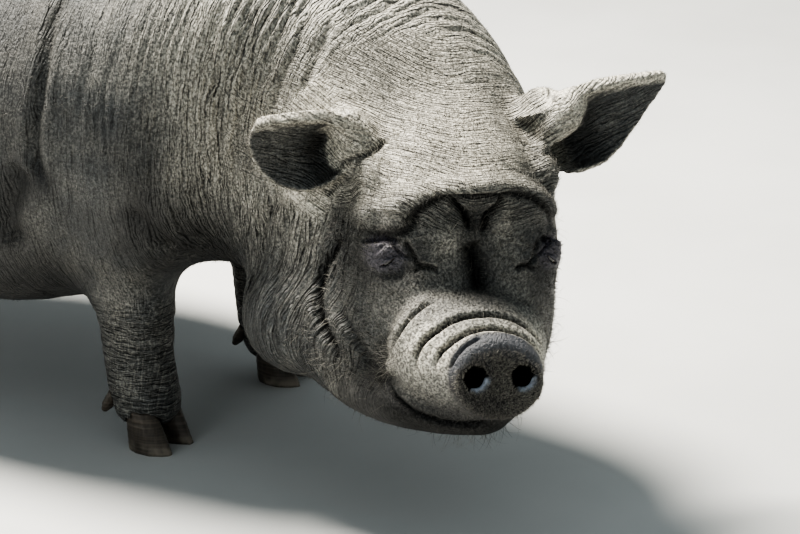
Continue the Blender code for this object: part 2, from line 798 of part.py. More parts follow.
def part_face(body, parts, helpers):
    """Jaw, disc, snout and head come off the body, in that order."""
    frame = head_frame()
    mouth = slanted_box("mouth", (0, -DISC_FORWARD, -MOUTH_DROP), 17, (-0.2, -0.1, -0.2),
                        (0.2, 0.118, 0), helpers, frame)
    part_off(body, mouth, "jaw", parts, helpers)
    front = box("front", (-0.1, -0.1, -0.1), (0.1, DISC_THICKNESS, 0.1), helpers, disc_frame())
    part_off(body, front, "nose_disc", parts, helpers)
    nose = box("nose", (-0.3, -0.3, -0.3), (0.3, -SNOUT_ROOT, 0.3), helpers, frame)
    part_off(body, nose, "snout", parts, helpers)
    nape = box("nape", (-0.3, -0.3, -0.3), (0.3, HEAD_LENGTH, 0.3), helpers, frame)
    return part_off(body, nape, "head", parts, helpers)


def part_limbs(body, parts, helpers):
    """The four legs, then the neck; what is left is the trunk."""
    made = {}
    for side in (LEFT, RIGHT):
        name = SIDE_NAMES[side]
        inner, outer = sorted((side * 0.048, side * 0.30))
        fore = slanted_box("fore", (0, -0.125, 0.196), -6, (inner, 0, -0.4), (outer, 0.220, 0), helpers)
        made["front", side] = part_off(body, fore, "foreleg_" + name, parts, helpers)
        inner, outer = sorted((side * 0.040, side * 0.30))
        hind = slanted_box("hind", (0, 0.340, 0.132), 27, (inner, 0, -0.5), (outer, 0.50, 0), helpers)
        made["back", side] = part_off(body, hind, "hindleg_" + name, parts, helpers)
    chest = slanted_box("chest", (0, NECK_ROOT, 0.3), -12, (-0.4, -0.5, -0.6), (0.4, 0, 0.6), helpers)
    part_off(body, chest, "neck", parts, helpers)
    return made


def let_in(host, piece, helpers):
    """Cuts a snug place for the piece out of its host."""
    cutter = grown(piece, GAP, piece.name + "_bed", helpers)
    boolean(host, cutter, "DIFFERENCE")
    remove(cutter)


def trimmed_by(piece, hosts, helpers):
    """Cuts away what of the piece lies inside its hosts, with the usual gap."""
    for host in hosts:
        cutter = grown(host, GAP, host.name + "_bed", helpers)
        boolean(piece, cutter, "DIFFERENCE")
        remove(cutter)


def largest_piece(obj):
    """Keeps the biggest connected shell of the mesh."""
    shape = bmesh.new()
    shape.from_mesh(obj.data)
    islands = []
    unseen = set(shape.verts)
    while unseen:
        front = [unseen.pop()]
        island = list(front)
        while front:
            vertex = front.pop()
            for edge in vertex.link_edges:
                other = edge.other_vert(vertex)
                if other in unseen:
                    unseen.discard(other)
                    front.append(other)
                    island.append(other)
        islands.append(island)
    islands.sort(key=len)
    for island in islands[:-1]:
        bmesh.ops.delete(shape, geom=island, context="VERTS")
    shape.to_mesh(obj.data)
    shape.free()


def finish_meshes(parts):
    """Triangles, one material each, and everything set over the origin."""
    skin = make_material("skin", (0.060, 0.055, 0.052), 0.75)
    horn = make_material("horn", (0.070, 0.060, 0.050), 0.55)
    nose = make_material("nose", (0.035, 0.034, 0.036), 0.50)
    cornea = make_material("eye", (0.015, 0.010, 0.008), 0.12)
    corners = []
    for obj in parts.objects:
        shape = bmesh.new()
        shape.from_mesh(obj.data)
        bmesh.ops.remove_doubles(shape, verts=shape.verts, dist=MERGE)
        bmesh.ops.triangulate(shape, faces=shape.faces)
        shape.to_mesh(obj.data)
        shape.free()
        obj.data.materials.clear()
        if "claw" in obj.name:
            obj.data.materials.append(horn)
        elif obj.name.startswith("eye"):
            obj.data.materials.append(cornea)
        elif obj.name == "nose_disc":
            obj.data.materials.append(nose)
        else:
            obj.data.materials.append(skin)
        corners += [v.co for v in obj.data.vertices]
    table = np.array(corners)
    low, high = table.min(axis=0), table.max(axis=0)
    shift = Matrix.Translation((-(low[0] + high[0]) / 2, -(low[1] + high[1]) / 2, -low[2]))
    for obj in parts.objects:
        obj.data.transform(shift)


def main():
    clear_scene()
    parts = make_collection("pig", hidden=False)
    helpers = make_collection("cutters", hidden=True)
    body = flesh(parts, helpers)
    head = part_face(body, parts, helpers)
    legs = part_limbs(body, parts, helpers)
    thin_parts(parts, helpers)
    disc = parts.objects["nose_disc"]
    for side in (LEFT, RIGHT):
        pit = nostril_cutter(side, helpers)
        boolean(disc, pit, "DIFFERENCE")
        remove(pit)
    for side in (LEFT, RIGHT):
        eye = ellipsoid("eye_" + SIDE_NAMES[side], eye_centre(side), (EYE_RADIUS,) * 3, parts,
                        (0, 0, 0), head_frame(), 14)
        let_in(head, eye, helpers)
    ears = [
        ear(LEFT, (0.090, 0.078, 0.089), (0.84, -0.10, 0.40), (-0.20, -1.0, -0.35),
            LEFT_EAR_LENGTH, POINTED_EAR, parts),
        ear(RIGHT, (-0.090, 0.080, 0.088), (-0.82, -0.468, 0.125), (0.20, -1.0, -0.45),
            RIGHT_EAR_LENGTH, DROOPING_EAR, parts),
    ]
    neck = parts.objects["neck"]
    for made in ears:
        trimmed_by(made, (head, neck), helpers)
        largest_piece(made)
    feet = {
        ("front", LEFT): Vector((FOREFOOT_SPREAD, -LEFT_FORE_ADVANCE, 0)),
        ("front", RIGHT): Vector((-FOREFOOT_SPREAD, 0, 0)),
        ("back", LEFT): Vector((HINDFOOT_SPREAD, HINDFOOT_BACK, 0)),
        ("back", RIGHT): Vector((-HINDFOOT_SPREAD, HINDFOOT_BACK - RIGHT_HIND_ADVANCE, 0)),
    }
    for (end, side), foot in feet.items():
        for made in foot_claws(end, side, foot, parts):
            let_in(legs[end, side], made, helpers)
    tail = tail_mass(parts)
    trimmed_by(tail, (body,), helpers)
    largest_piece(tail)
    finish_meshes(parts)


main()
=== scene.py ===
"""The hide, coat, eyes and claws of a standing pot-bellied pig, dressed around its solids.

Everything is in metres in the solids' own frame: +X is the pig's left, -Y its front and +Z up.
Head axes are +X the head's left, -Y its nose and +Z its crown, with the origin between the eyes.
"""

import math
from types import SimpleNamespace

import bmesh
import bpy
import numpy as np
from mathutils import Matrix, Vector
from mathutils.kdtree import KDTree


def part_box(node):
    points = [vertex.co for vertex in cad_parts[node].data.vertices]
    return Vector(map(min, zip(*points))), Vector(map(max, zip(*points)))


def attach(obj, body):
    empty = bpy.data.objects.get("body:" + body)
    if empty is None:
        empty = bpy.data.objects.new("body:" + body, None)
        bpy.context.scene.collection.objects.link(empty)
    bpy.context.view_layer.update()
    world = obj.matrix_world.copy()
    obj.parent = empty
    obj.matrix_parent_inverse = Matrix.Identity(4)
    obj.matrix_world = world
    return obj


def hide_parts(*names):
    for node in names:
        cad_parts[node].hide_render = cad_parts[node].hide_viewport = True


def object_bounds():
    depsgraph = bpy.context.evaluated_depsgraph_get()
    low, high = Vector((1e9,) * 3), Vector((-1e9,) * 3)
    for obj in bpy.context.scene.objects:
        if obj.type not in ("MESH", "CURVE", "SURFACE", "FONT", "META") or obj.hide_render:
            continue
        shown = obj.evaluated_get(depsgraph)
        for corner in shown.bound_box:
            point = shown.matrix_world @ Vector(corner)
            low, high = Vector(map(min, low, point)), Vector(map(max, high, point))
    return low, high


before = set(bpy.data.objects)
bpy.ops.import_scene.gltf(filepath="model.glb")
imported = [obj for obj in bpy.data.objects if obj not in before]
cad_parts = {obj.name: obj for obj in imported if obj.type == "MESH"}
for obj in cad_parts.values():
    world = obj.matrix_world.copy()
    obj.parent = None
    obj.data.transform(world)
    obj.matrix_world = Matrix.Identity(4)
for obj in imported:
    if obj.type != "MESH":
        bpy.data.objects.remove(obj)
cad_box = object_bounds()

bl_info = {
    "name": "Pot-bellied pig",
    "version": (1, 0, 0),
    "blender": (4, 5, 0),
    "location": "View3D > Sidebar > Pig",
    "description": "Hide, coat, eyes and claws of a standing pot-bellied pig",
    "category": "Add Mesh",
}

FIELD_OF = {"FLOAT_COLOR": "color", "FLOAT_VECTOR": "vector", "FLOAT": "value"}

LEFT, RIGHT = 1, -1
SIDES = {"left": LEFT, "right": RIGHT}
FLESH = ("trunk", "neck", "head", "snout", "nose_disc", "jaw", "ear_left", "ear_right",
         "foreleg_left", "foreleg_right", "hindleg_left", "hindleg_right", "tail")

# Where the eyes, the disc and the ears lie in head axes; the disc is tilted forward.
NOSE_DROP = math.radians(36.787)
EYES_IN_HEAD = Vector((0.0, -0.016, 0.003))
EYE_AT = np.array((0.070, -0.016, 0.003))
EYES = {side: EYE_AT * (side, 1, 1) for side in (LEFT, RIGHT)}
EYE_RADIUS = 0.0125
DISC_AT = np.array((0.0, -0.1355, -0.075))
DISC_TILT = math.radians(17)
NOSTRIL_AT = np.array((0.0203, 0.0, 0.0015))
EAR_ROOTS = {LEFT: np.array((0.090, 0.078, 0.089)), RIGHT: np.array((-0.090, 0.080, 0.088))}
EAR_LINES = {LEFT: np.array((0.84, -0.10, 0.40)), RIGHT: np.array((-0.82, -0.468, 0.125))}
# Height of the ears' upper edge over their axis: shares of the length, then each side's heights.
EAR_EDGES = {
    0: (0.0, 0.08, 0.22, 0.42, 0.64, 0.83, 0.95, 1.0),
    LEFT: (0.0310, 0.0303, 0.0333, 0.0309, 0.0225, 0.0130, 0.0070, 0.0030),
    RIGHT: (0.0180, 0.0195, 0.0227, 0.0297, 0.0232, 0.0167, 0.0120, 0.0070),
}
# The round lobes at the roots of the ears, in head axes and millimetres: centre and radius.
EAR_LOBES = (
    ((-96, 52, 101), 17), ((-85, 53, 89), 20), ((-90, 57, 73), 16.5),
    ((111, 56, 120), 15), ((101, 50, 110), 19), ((90, 48, 98), 16),
)
EAR_LENGTHS = {LEFT: 0.122, RIGHT: 0.1055}
EAR_FACES = {LEFT: np.array((-0.20, -1.0, -0.35)), RIGHT: np.array((0.20, -1.0, -0.45))}

# Hair is pressed down where it would reach past the solids' own box.
COAT_LIMITS = np.array([list(corner) for corner in cad_box]) + np.array(((0.0006,), (-0.0006,)))

MERGE = 0.00002  # points of the solids that lie nearer than this are one
CLOSING = 0.0004  # how far each part is grown so that the cuts between them close
LID_THICKNESS = 0.0016  # over the eyeball
SOCKET_ROUNDS = 24  # how often the skin round the eyes is drawn smooth
NOSTRIL_LEDGE = 0.0026  # how far the moist wall of a nostril stands in
# The flare that joins the lids to the face, beyond this distance from the eye's axis.
FLARE_START, FLARE_HEIGHT, FLARE_DROP, FLARE_LENGTH = 0.0090, 0.0108, 0.0055, 0.0066
LID_REACH = 0.0075  # how far out from the eyeball the lids draw the skin in
SLIT_DROP = -0.0014  # from the eye's middle to the middle of the slit between its lids
SLIT_HALF_HEIGHT = 0.0013
SLIT_HALF_LENGTH = 0.0086
WEIGHT_ROUNDS = 90  # how often the heavy flesh is drawn smooth
LOOSE_ROUNDS = 16  # how often the rest is
SKIN_TRIANGLES = 194000
TUFT_CELL = 0.0014  # half the width of a tuft on the flat map
EYE_CLEARANCE = 0.0009  # between an eyeball and the hide round it
BODY_CREASE = 0.35  # how dark the painted shade in a furrow of the body is beside one of the head
GIRTH_HEIGHT, GIRTH_RADIUS = 0.29, 0.19  # the barrel that places round the body are measured on
ROOT_DEPTH = 0.0008  # how deep a tuft is sunk in the hide
DROOP = 0.35  # the share of its lift that a tuft loses along its length
LEG_TOP = 0.17  # below this height each leg has its own cell on the flat map
LINE_NAMES = ("lines_body", "lines_brow", "lines_limb")
PALE_IN_DARK = slice(7, 11)  # the dust and painted light that lie on swellings in the dark of the frown

# The line that the wrinkles run around, tail to nose, seen from above.
SPINE = ((0.0, 0.62), (0.0, 0.40), (0.0, 0.15), (0.0, -0.05), (0.002, -0.166), (0.006, -0.215),
         (-0.004, -0.270), (-0.030, -0.335), (-0.0856, -0.4308), (-0.1385, -0.488), (-0.178, -0.531),
         (-0.230, -0.587))


# ---------------------------------------------------------------- numbers and lines


def ramp(value, low, high):
    """0 at low, 1 at high and smooth between; low may be the larger."""
    share = np.clip((value - low) / (high - low), 0.0, 1.0)
    return share * share * (3 - 2 * share)


def unit(rows):
    return rows / np.maximum(np.linalg.norm(rows, axis=-1, keepdims=True), 1e-9)


def metres(rows):
    """Rows given in millimetres, in metres."""
    return np.array(rows, float) / 1000


def even_line(points, step=0.0009):
    """A Catmull-Rom line through the points, as rows about a step apart."""
    table = np.array(points, float)
    padded = np.vstack([2 * table[0] - table[1], table, 2 * table[-1] - table[-2]])
    made = []
    for a, b, c, d in zip(padded, padded[1:], padded[2:], padded[3:]):
        count = max(2, int(np.linalg.norm(c - b) / step))
        u = np.linspace(0, 1, count, endpoint=False)[:, None]
        bend = (2 * a - 5 * b + 4 * c - d) * u**2
        made.append(0.5 * (2 * b + (c - a) * u + bend + (3 * b - a - 3 * c + d) * u**3))
    return np.vstack([*made, table[-1:]])


def near_line(points, line, reach):
    """Which points lie near the line: their rows, distance, share along it and the gap vector."""
    low, high = line.min(axis=0) - reach, line.max(axis=0) + reach
    rows = np.nonzero(((points > low) & (points < high)).all(axis=1))[0]
    near = points[rows]
    away = np.full(len(rows), np.inf)
    place = np.zeros(len(rows), int)
    for k, spot in enumerate(line):
        square = ((near - spot) ** 2).sum(axis=1)
        closer = square < away
        away[closer], place[closer] = square[closer], k
    keep = away < reach * reach
    gap = near - line[place]
    return rows[keep], np.sqrt(away[keep]), place[keep] / (len(line) - 1), gap[keep]


def noise(across, along, seed):
    """Smooth noise from -1 to 1 over a plane."""
    spots = np.stack([across, along], axis=-1)
    cell = np.floor(spots).astype(np.int64)
    part = spots - cell
    ease = part * part * (3 - 2 * part)

    def corner(right, up):
        mixed = (cell[..., 0] + right) * 374761393 + (cell[..., 1] + up) * 668265263 + seed * 97463477
        mixed = (mixed ^ (mixed >> 13)) * 1274126177
        mixed = mixed ^ (mixed >> 16)
        return (mixed & 0xFFFF) / 32767.5 - 1

    low = corner(0, 0) * (1 - ease[..., 0]) + corner(1, 0) * ease[..., 0]
    high = corner(0, 1) * (1 - ease[..., 0]) + corner(1, 1) * ease[..., 0]
    return low * (1 - ease[..., 1]) + high * ease[..., 1]


def folds(across, along, spacing, length, seed):
    """1 in the bottom of long folds that many metres apart, wandering and fading, 0 between them."""
    wander = 1.3 * noise(across / (spacing * 4.5), along / length, seed)
    wander += 0.35 * noise(across / (spacing * 1.5), along / (length * 0.4), seed + 3)
    place = across / spacing + wander
    away = np.abs(place - np.floor(place) - 0.5) * 2
    fade = ramp(noise(across / (spacing * 1.7), along / (length * 0.8), seed + 5), -0.7, 0.25)
    return np.exp(-((away / 0.34) ** 2)) * fade


# ---------------------------------------------------------------- head axes


def middle(node):
    low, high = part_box(node)
    return (low + high) / 2


def head_axes():
    """From head axes to the solids' frame, read from the eyes and the nose disc."""
    left, right = middle("eye_left"), middle("eye_right")
    across = (left - right).normalized()
    nose = middle("nose_disc") - (left + right) / 2
    nose = (nose - across * nose.dot(across)).normalized()
    forward = Matrix.Rotation(NOSE_DROP, 3, across) @ nose
    if forward.z < nose.z:
        forward = Matrix.Rotation(-NOSE_DROP, 3, across) @ nose
    up = forward.cross(across)
    turn = Matrix((across, -forward, up)).transposed()
    return turn, (left + right) / 2 - turn @ EYES_IN_HEAD


head_turn, head_place = head_axes()
HEAD_TURN = np.array(head_turn)
HEAD_PLACE = np.array(head_place)
TILT = np.array(Matrix.Rotation(-DISC_TILT, 3, "X"))


def to_head(points):
    return (points - HEAD_PLACE) @ HEAD_TURN


def from_head(points):
    return points @ HEAD_TURN.T + HEAD_PLACE


def to_disc(head_points):
    """Disc axes: origin at the middle of its face, -Y outwards."""
    return (head_points - DISC_AT) @ TILT


def middle_of_foot(end, side):
    inner, outer = (middle(f"claw_{end}_{side}_{place}") for place in ("inner", "outer"))
    return (inner + outer) / 2


def from_eyes(head):
    """For each eye: its side, and the gap and the distance of every point from its middle."""
    for side, centre in EYES.items():
        gap = head - centre
        yield side, gap, np.linalg.norm(gap, axis=1)


# ---------------------------------------------------------------- meshes


def only(obj):
    """Deselects everything, then selects this object and makes it active."""
    bpy.ops.object.select_all(action="DESELECT")
    obj.select_set(True)
    bpy.context.view_layer.objects.active = obj


def new_object(name, mesh):
    obj = bpy.data.objects.new(name, mesh)
    bpy.context.scene.collection.objects.link(obj)
    return obj


def modify(obj, kind, **settings):
    """Adds a modifier with these settings and applies it."""
    only(obj)
    made = obj.modifiers.new(kind.lower(), kind)
    for key, value in settings.items():
        setattr(made, key, value)
    bpy.ops.object.modifier_apply(modifier=made.name)


def column(rows, field, width, kind=np.float32):
    """One field of a collection of Blender's, as rows of that width."""
    made = np.empty(len(rows) * width, kind)
    rows.foreach_get(field, made)
    return made.reshape(-1, width)


def read(mesh):
    """Points, unit normals and edges of a mesh."""
    points, normals = (column(mesh.vertices, field, 3).astype(float) for field in ("co", "normal"))
    return points, normals, column(mesh.edges, "vertices", 2, np.int32)


def write(mesh, points):
    mesh.vertices.foreach_set("co", points.astype(np.float32).ravel())
    mesh.update()


def store(mesh, name, rows, kind="FLOAT_COLOR"):
    """Keeps a colour or a vector for each point of the mesh."""
    made = mesh.attributes.new(name, kind, "POINT")
    made.data.foreach_set(FIELD_OF[kind], rows.astype(np.float32).ravel())


def fetch(mesh, name, width, kind="FLOAT_COLOR"):
    """What was stored, as one row for each point."""
    return column(mesh.attributes[name].data, FIELD_OF[kind], width).astype(float)


def tree_of(points):
    """A search tree that finds the nearest of these points."""
    tree = KDTree(len(points))
    for k, spot in enumerate(points.tolist()):
        tree.insert(spot, k)
    tree.balance()
    return tree


def draped(line, tree):
    """The line drawn onto the nearest points of a surface."""
    spots = np.array([tree.find(spot)[0] for spot in line.tolist()])
    for _ in range(3):
        spots[1:-1] = (spots[:-2] + 2 * spots[1:-1] + spots[2:]) / 4
    return spots


def eased(points, edges, rounds, share, back=0.0):
    """Draws each point towards its neighbours, and for a back above 0 out again, round after round."""
    count = len(points)
    first, second = edges[:, 0], edges[:, 1]
    degree = np.bincount(edges.ravel(), minlength=count).astype(float)[:, None]
    for step in [share, -share * back] * rounds if back else [share] * rounds:
        total = np.empty_like(points)
        for axis in range(3):
            total[:, axis] = np.bincount(first, points[second, axis], count)
            total[:, axis] += np.bincount(second, points[first, axis], count)
        points = points + step[:, None] * (total / degree - points)
    return points


def to_mesh(shape, name):
    """Turns an open form into a mesh of that name, and closes it."""
    mesh = bpy.data.meshes.new(name)
    shape.to_mesh(mesh)
    shape.free()
    return mesh


def merged_part(node, name, grow):
    """A welded copy of one solid's mesh, its skin moved out a little."""
    shape = bmesh.new()
    shape.from_mesh(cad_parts[node].data)
    bmesh.ops.remove_doubles(shape, verts=shape.verts, dist=MERGE)
    shape.normal_update()
    for vertex, move in [(v, v.normal * grow) for v in shape.verts]:
        vertex.co += move
    return to_mesh(shape, name)


def flesh_body(voxel):
    """All the flesh as one closed skin, with a ball under each pair of lids."""
    shape = bmesh.new()
    for node in FLESH:
        mesh = merged_part(node, node + "_part", CLOSING)
        shape.from_mesh(mesh)
        bpy.data.meshes.remove(mesh)
    for centre in EYES.values():
        bmesh.ops.create_uvsphere(
            shape, u_segments=32, v_segments=20, radius=EYE_RADIUS + LID_THICKNESS,
            matrix=Matrix.Translation(from_head(centre)),
        )
    obj = new_object("pig_skin", to_mesh(shape, "pig_skin"))
    modify(obj, "REMESH", mode="VOXEL", voxel_size=voxel)
    return obj


def refine(obj, chosen):
    """Splits the faces whose points are all chosen into four."""
    shape = bmesh.new()
    shape.from_mesh(obj.data)
    shape.verts.ensure_lookup_table()
    edges = [e for e in shape.edges if chosen[e.verts[0].index] and chosen[e.verts[1].index]]
    bmesh.ops.subdivide_edges(shape, edges=edges, cuts=1, use_grid_fill=True, smooth=0.0)
    shape.to_mesh(obj.data)
    shape.free()


def smooth_shaded(obj, material):
    """Shades an object smooth, in this material alone."""
    only(obj)
    bpy.ops.object.shade_smooth()
    obj.data.materials.clear()
    obj.data.materials.append(material)


# ---------------------------------------------------------------- the form of the hide

# Furrows in head axes and millimetres: width, depth, lip beside it, whether the other side has one too,
# and the line.
HEAD_FURROWS = {
    "brow_edge": (4.6, 4.8, 0.4, False, (
        (-98, 22, 20), (-94, 12, 19), (-88, 2, 18), (-78, -14, 20), (-68, -25, 24), (-58, -33, 30),
        (-52, -37, 44), (-42, -39, 53), (-29, -43, 58), (-14, -48, 60), (2, -49, 61), (18, -46, 61),
        (32, -41, 61), (46, -36, 58), (58, -34, 51), (70, -26, 40), (82, -8, 28), (92, 10, 20))),
    "frown_right": (2.8, 7.4, 2.2, False, (
        (-26, -43, 56), (-16, -42, 48), (-10, -42, 41), (-7, -43, 30))),
    "frown_left": (3, 8, 2.2, False, (
        (25, -44, 59), (15, -43, 49), (8, -42, 41), (5, -44, 28))),
    "frown_pit": (7.8, 12.5, 0, False, (
        (-6, -46, 22), (-3, -49, 10), (0, -52, 0), (2, -54, -10), (3, -60, -17))),
    "upper_lid_fold": (2.4, 5, 1.2, True, (
        (-92, 4, 10), (-85, -7, 13.5), (-77, -18, 16.5), (-69, -26, 17.5), (-62, -32, 17.5))),
    "lid_crease_outer": (1.3, 2.4, 0.6, True, (
        (-73.5, -24, 16), (-79, -22, 10), (-85, -18, 4.5))),
    "lid_crease_inner": (1.4, 2.8, 0.6, True, (
        (-70.5, -26, 16.5), (-66.5, -29, 11), (-60, -34, 6), (-55.5, -38, 4.5))),
    "lid_crease_low": (1.2, 1.6, 0.4, True, (
        (-83, -20, -1), (-76, -27, 3.5), (-69, -31, 6), (-62, -34, 6.5))),
    "inner_eye_fold": (2.2, 4.6, 1.2, True, (
        (-61, -34, 20), (-57, -38, 11), (-53, -42, 3), (-47, -46, -1))),
    "under_eye_slit": (1.8, 4.4, 1.2, True, (
        (-56, -42, -6), (-48, -47, -1), (-41, -49, -1), (-34, -51, -3))),
    "muzzle_edge": (3, 6, 1.4, False, (
        (-76, -66, -66), (-74, -71, -54), (-70, -72, -45), (-61, -71, -34), (-52, -69, -27),
        (-40, -67, -22))),
    "muzzle_edge_left": (2.8, 5.6, 1.2, False, (
        (34, -62, -22), (46, -62, -31), (54, -68, -40), (62, -70, -52), (66, -68, -66))),
    "first_ring": (2.1, 6.2, 1.4, False, (
        (-64, -98, -76), (-64, -98, -67), (-62, -97, -58), (-57, -97, -50), (-48, -97, -43),
        (-37, -96, -36), (-25, -95, -32), (-9, -95, -30), (6, -95, -30), (20, -96, -33), (32, -98, -39),
        (42, -100, -46), (51, -99, -56), (56, -98, -68))),
    "second_ring": (1.9, 5.4, 1.2, False, (
        (-53, -112, -71), (-50, -112, -63), (-46, -111, -56), (-38, -110, -49), (-28, -109, -43),
        (-18, -108, -40), (-4, -108, -38), (10, -109, -40), (21, -110, -43), (31, -111, -49),
        (40, -112, -58), (45, -113, -68))),
    "third_ring": (1.4, 3, 0.6, False, (
        (-43, -124, -70), (-38, -122, -60), (-31, -120, -52), (-23, -118, -47), (-12, -117, -43))),
    "mouth": (2.2, 4.6, 0.8, False, (
        (-77, -50, -88), (-78, -58, -99), (-71, -76, -109), (-58, -98, -116), (-40, -116, -118.5),
        (-20, -129, -117.5), (0, -135, -116.5), (18, -129, -116), (32, -116, -115), (42, -98, -112),
        (50, -76, -105))),
    "cheek_back": (6, 6.2, 1.4, True, (
        (-98, 24, 16), (-103, 33, 3), (-112, 44, -22), (-118, 39, -43), (-120, 22, -61), (-114, 1, -80),
        (-104, -6, -100))),
    "cheek_front": (4.4, 2.8, 0.6, True, (
        (-84, -28, -96), (-92, -18, -77), (-101, -8, -62), (-108, 8, -48))),
    "muzzle_side": (3.6, 2.6, 0.5, True, (
        (-78, -40, -60), (-83, -38, -74), (-84, -40, -90), (-78, -46, -106))),
    "ear_front_fold": (2.4, 3.4, 1, True, (
        (-101, 47, 64), (-99, 45, 70), (-94, 40, 73), (-91, 34, 77), (-86, 30, 80), (-79, 29, 82),
        (-73, 30, 85), (-67, 33, 90), (-61, 35, 96))),
    "ear_low_fold": (2.8, 2.4, 0.5, True, (
        (-110, 55, 36), (-100, 48, 52), (-86, 38, 62), (-74, 32, 74))),
}

# The same for the body, in the solids' frame; the far side always has one too.
BODY_FURROWS = {
    "shoulder": (5.8, 7.8, 1.8, (
        (-120, -36, 452), (-154, -40, 410), (-177, -46, 370), (-189, -43, 315), (-191, -48, 285),
        (-184, -60, 262))),
    "elbow": (13, 12, 0, (
        (-190, -30, 290), (-186, -18, 262), (-178, -8, 236), (-160, -4, 210))),
    "upper_arm": (9, 5, 1, (
        (-178, -140, 262), (-172, -150, 246), (-160, -160, 226), (-142, -168, 206))),
    "neck_a": (3.6, 2.2, 0.6, (
        (-128, -204, 396), (-134, -209, 362), (-137, -211, 331), (-136, -213, 294), (-130, -220, 255))),
    "neck_b": (3.4, 2.2, 0.5, (
        (-109, -228, 402), (-122, -226, 366), (-130, -224, 335), (-134, -222, 294), (-130, -228, 257),
        (-126, -236, 225))),
    "neck_c": (3.4, 2, 0.6, (
        (-60, -258, 436), (-86, -258, 404), (-104, -253, 377), (-115, -249, 350))),
    "neck_d": (3.2, 1.6, 0.5, (
        (-50, -277, 432), (-78, -277, 400), (-99, -273, 370))),
    "throat_a": (4.2, 2.8, 0.8, (
        (-131, -272, 288), (-131, -256, 262), (-130, -248, 232), (-126, -252, 200), (-120, -262, 170))),
    "throat_b": (4, 2.4, 0.6, (
        (-133, -294, 286), (-136, -281, 262), (-141, -274, 230), (-152, -277, 204), (-160, -286, 178),
        (-160, -296, 150))),
    "flank": (10, 6, 1, (
        (-186, 262, 330), (-194, 262, 290), (-190, 266, 250), (-174, 274, 214), (-150, 286, 184))),
    "knee_a": (4.2, 3, 0.5, (
        (-66, -120, 118), (-80, -140, 120), (-102, -146, 121), (-124, -138, 120), (-138, -112, 118))),
    "hock_a": (4.6, 3.4, 0.5, (
        (-82, 330, 144), (-106, 318, 140), (-134, 328, 144), (-146, 356, 148))),
    "ham": (8, 4, 1, (
        (-60, 520, 260), (-100, 508, 236), (-136, 480, 224), (-160, 440, 226))),
}

# Swellings in head axes and millimetres: centre, radius, height, and whether the other side has one too.
HEAD_SWELLS = {
    "frown_pad_right": ((-26, -45, 26), 13, 5, False),
    "frown_pad_left": ((21, -45, 38), 10, 4.5, False),
    "lip_corner": ((-74, -60, -84), 7, 5.2, True),
    "chin": ((0, -112, -128), 16, 1.2, False),
}


def cut_furrow(points, line, width, depth, lip):
    """For one furrow: the rows near it, how far they move out, and how far each lies in its bottom."""
    rows, away, along, _ = near_line(points, line, width * 5 + 0.003)
    ends = np.maximum(ramp(along, -0.02, 0.16) * ramp(along, 1.02, 0.84), 0.10)
    shoulder = (away - 2.1 * width - 0.001) / (1.2 * width + 0.001)
    cut = -depth * np.exp(-((away / width) ** 2)) + lip * np.exp(-(shoulder**2))
    bottom = np.exp(-((away / (0.80 * width + 0.0002)) ** 2)) * min(1.0, depth / 0.0056)
    return rows, cut * ends, bottom * ends


def cut_all(points):
    """The moves along the normals for every furrow and swelling, and the share of furrow in each point."""
    head = to_head(points)
    moves, crease = np.zeros(len(points)), np.zeros(len(points))
    head_tree, tree = tree_of(head), tree_of(points)
    lines = [(head, head_tree, even_line(metres(line)), sizes, both, 1.0)
             for *sizes, both, line in HEAD_FURROWS.values()]
    lines += [(points, tree, even_line(metres(line), 0.004), sizes, True, BODY_CREASE)
              for *sizes, line in BODY_FURROWS.values()]
    for places, near, line, sizes, both, share in lines:
        for side in (1, -1) if both else (1,):
            rows, cut, bottom = cut_furrow(places, draped(line * (side, 1, 1), near), *metres(sizes))
            moves[rows] += cut
            crease[rows] = np.maximum(crease[rows], share * bottom)
    for centre, radius, height, both in HEAD_SWELLS.values():
        for side in (1, -1) if both else (1,):
            away = np.linalg.norm(head - metres(centre) * (side, 1, 1), axis=1)
            moves += height / 1000 * np.exp(-((away / (radius / 1000)) ** 2))
    return moves, crease


def brow_line():
    return even_line(metres(HEAD_FURROWS["brow_edge"][-1]))


def hang_brow(points):
    """Draws the skin just above the brow's furrow down and out over it."""
    head = to_head(points)
    rows, away, along, gap = near_line(head, brow_line(), 0.020)
    above = ramp(gap[:, 2] - gap[:, 1] * 0.6, -0.001, 0.004)
    ends = ramp(along, 0.0, 0.25) * ramp(along, 0.92, 0.68)
    hang = above * np.exp(-(((away - 0.0045) / 0.0065) ** 2)) * ends
    head[rows] += hang[:, None] * np.array((0.0, -0.0014, -0.0018))
    return from_head(head)


def lid_axes(side):
    """Outwards, along the slit and across it, for one eye, in head axes."""
    out = unit(np.array((side * 0.15, -0.86, -0.46)))
    along = np.array((side * 0.70, 0.45, -0.56))
    along = unit(along - out * along.dot(out))
    return out, along, np.cross(along, out) * side


def soften_sockets(points, edges):
    """Draws the skin round each eye smooth, so that the lids swell gently out of their sockets."""
    soft = np.zeros(len(points))
    for _, _, away in from_eyes(to_head(points)):
        soft = np.maximum(soft, ramp(away, 0.028, 0.020))
    near = soft > 0
    rank = np.cumsum(near) - 1
    kept = rank[edges[near[edges].all(axis=1)]]
    points[near] = eased(points[near], kept, SOCKET_ROUNDS, 0.5 * soft[near])
    return points


def nostril_ledges(here):
    """Draws the low outer wall of each nostril in, as a moist ledge."""
    disc = here.disc
    moves = np.zeros_like(disc)
    for side in (LEFT, RIGHT):
        towards = np.array((side * NOSTRIL_AT[0], 0.0, NOSTRIL_AT[2])) - disc * (1, 0, 1)
        rows = disc[:, 0] * side > 0
        moves[rows] = (unit(towards) * (NOSTRIL_LEDGE * here.gleam)[:, None])[rows]
    return moves @ TILT.T @ HEAD_TURN.T


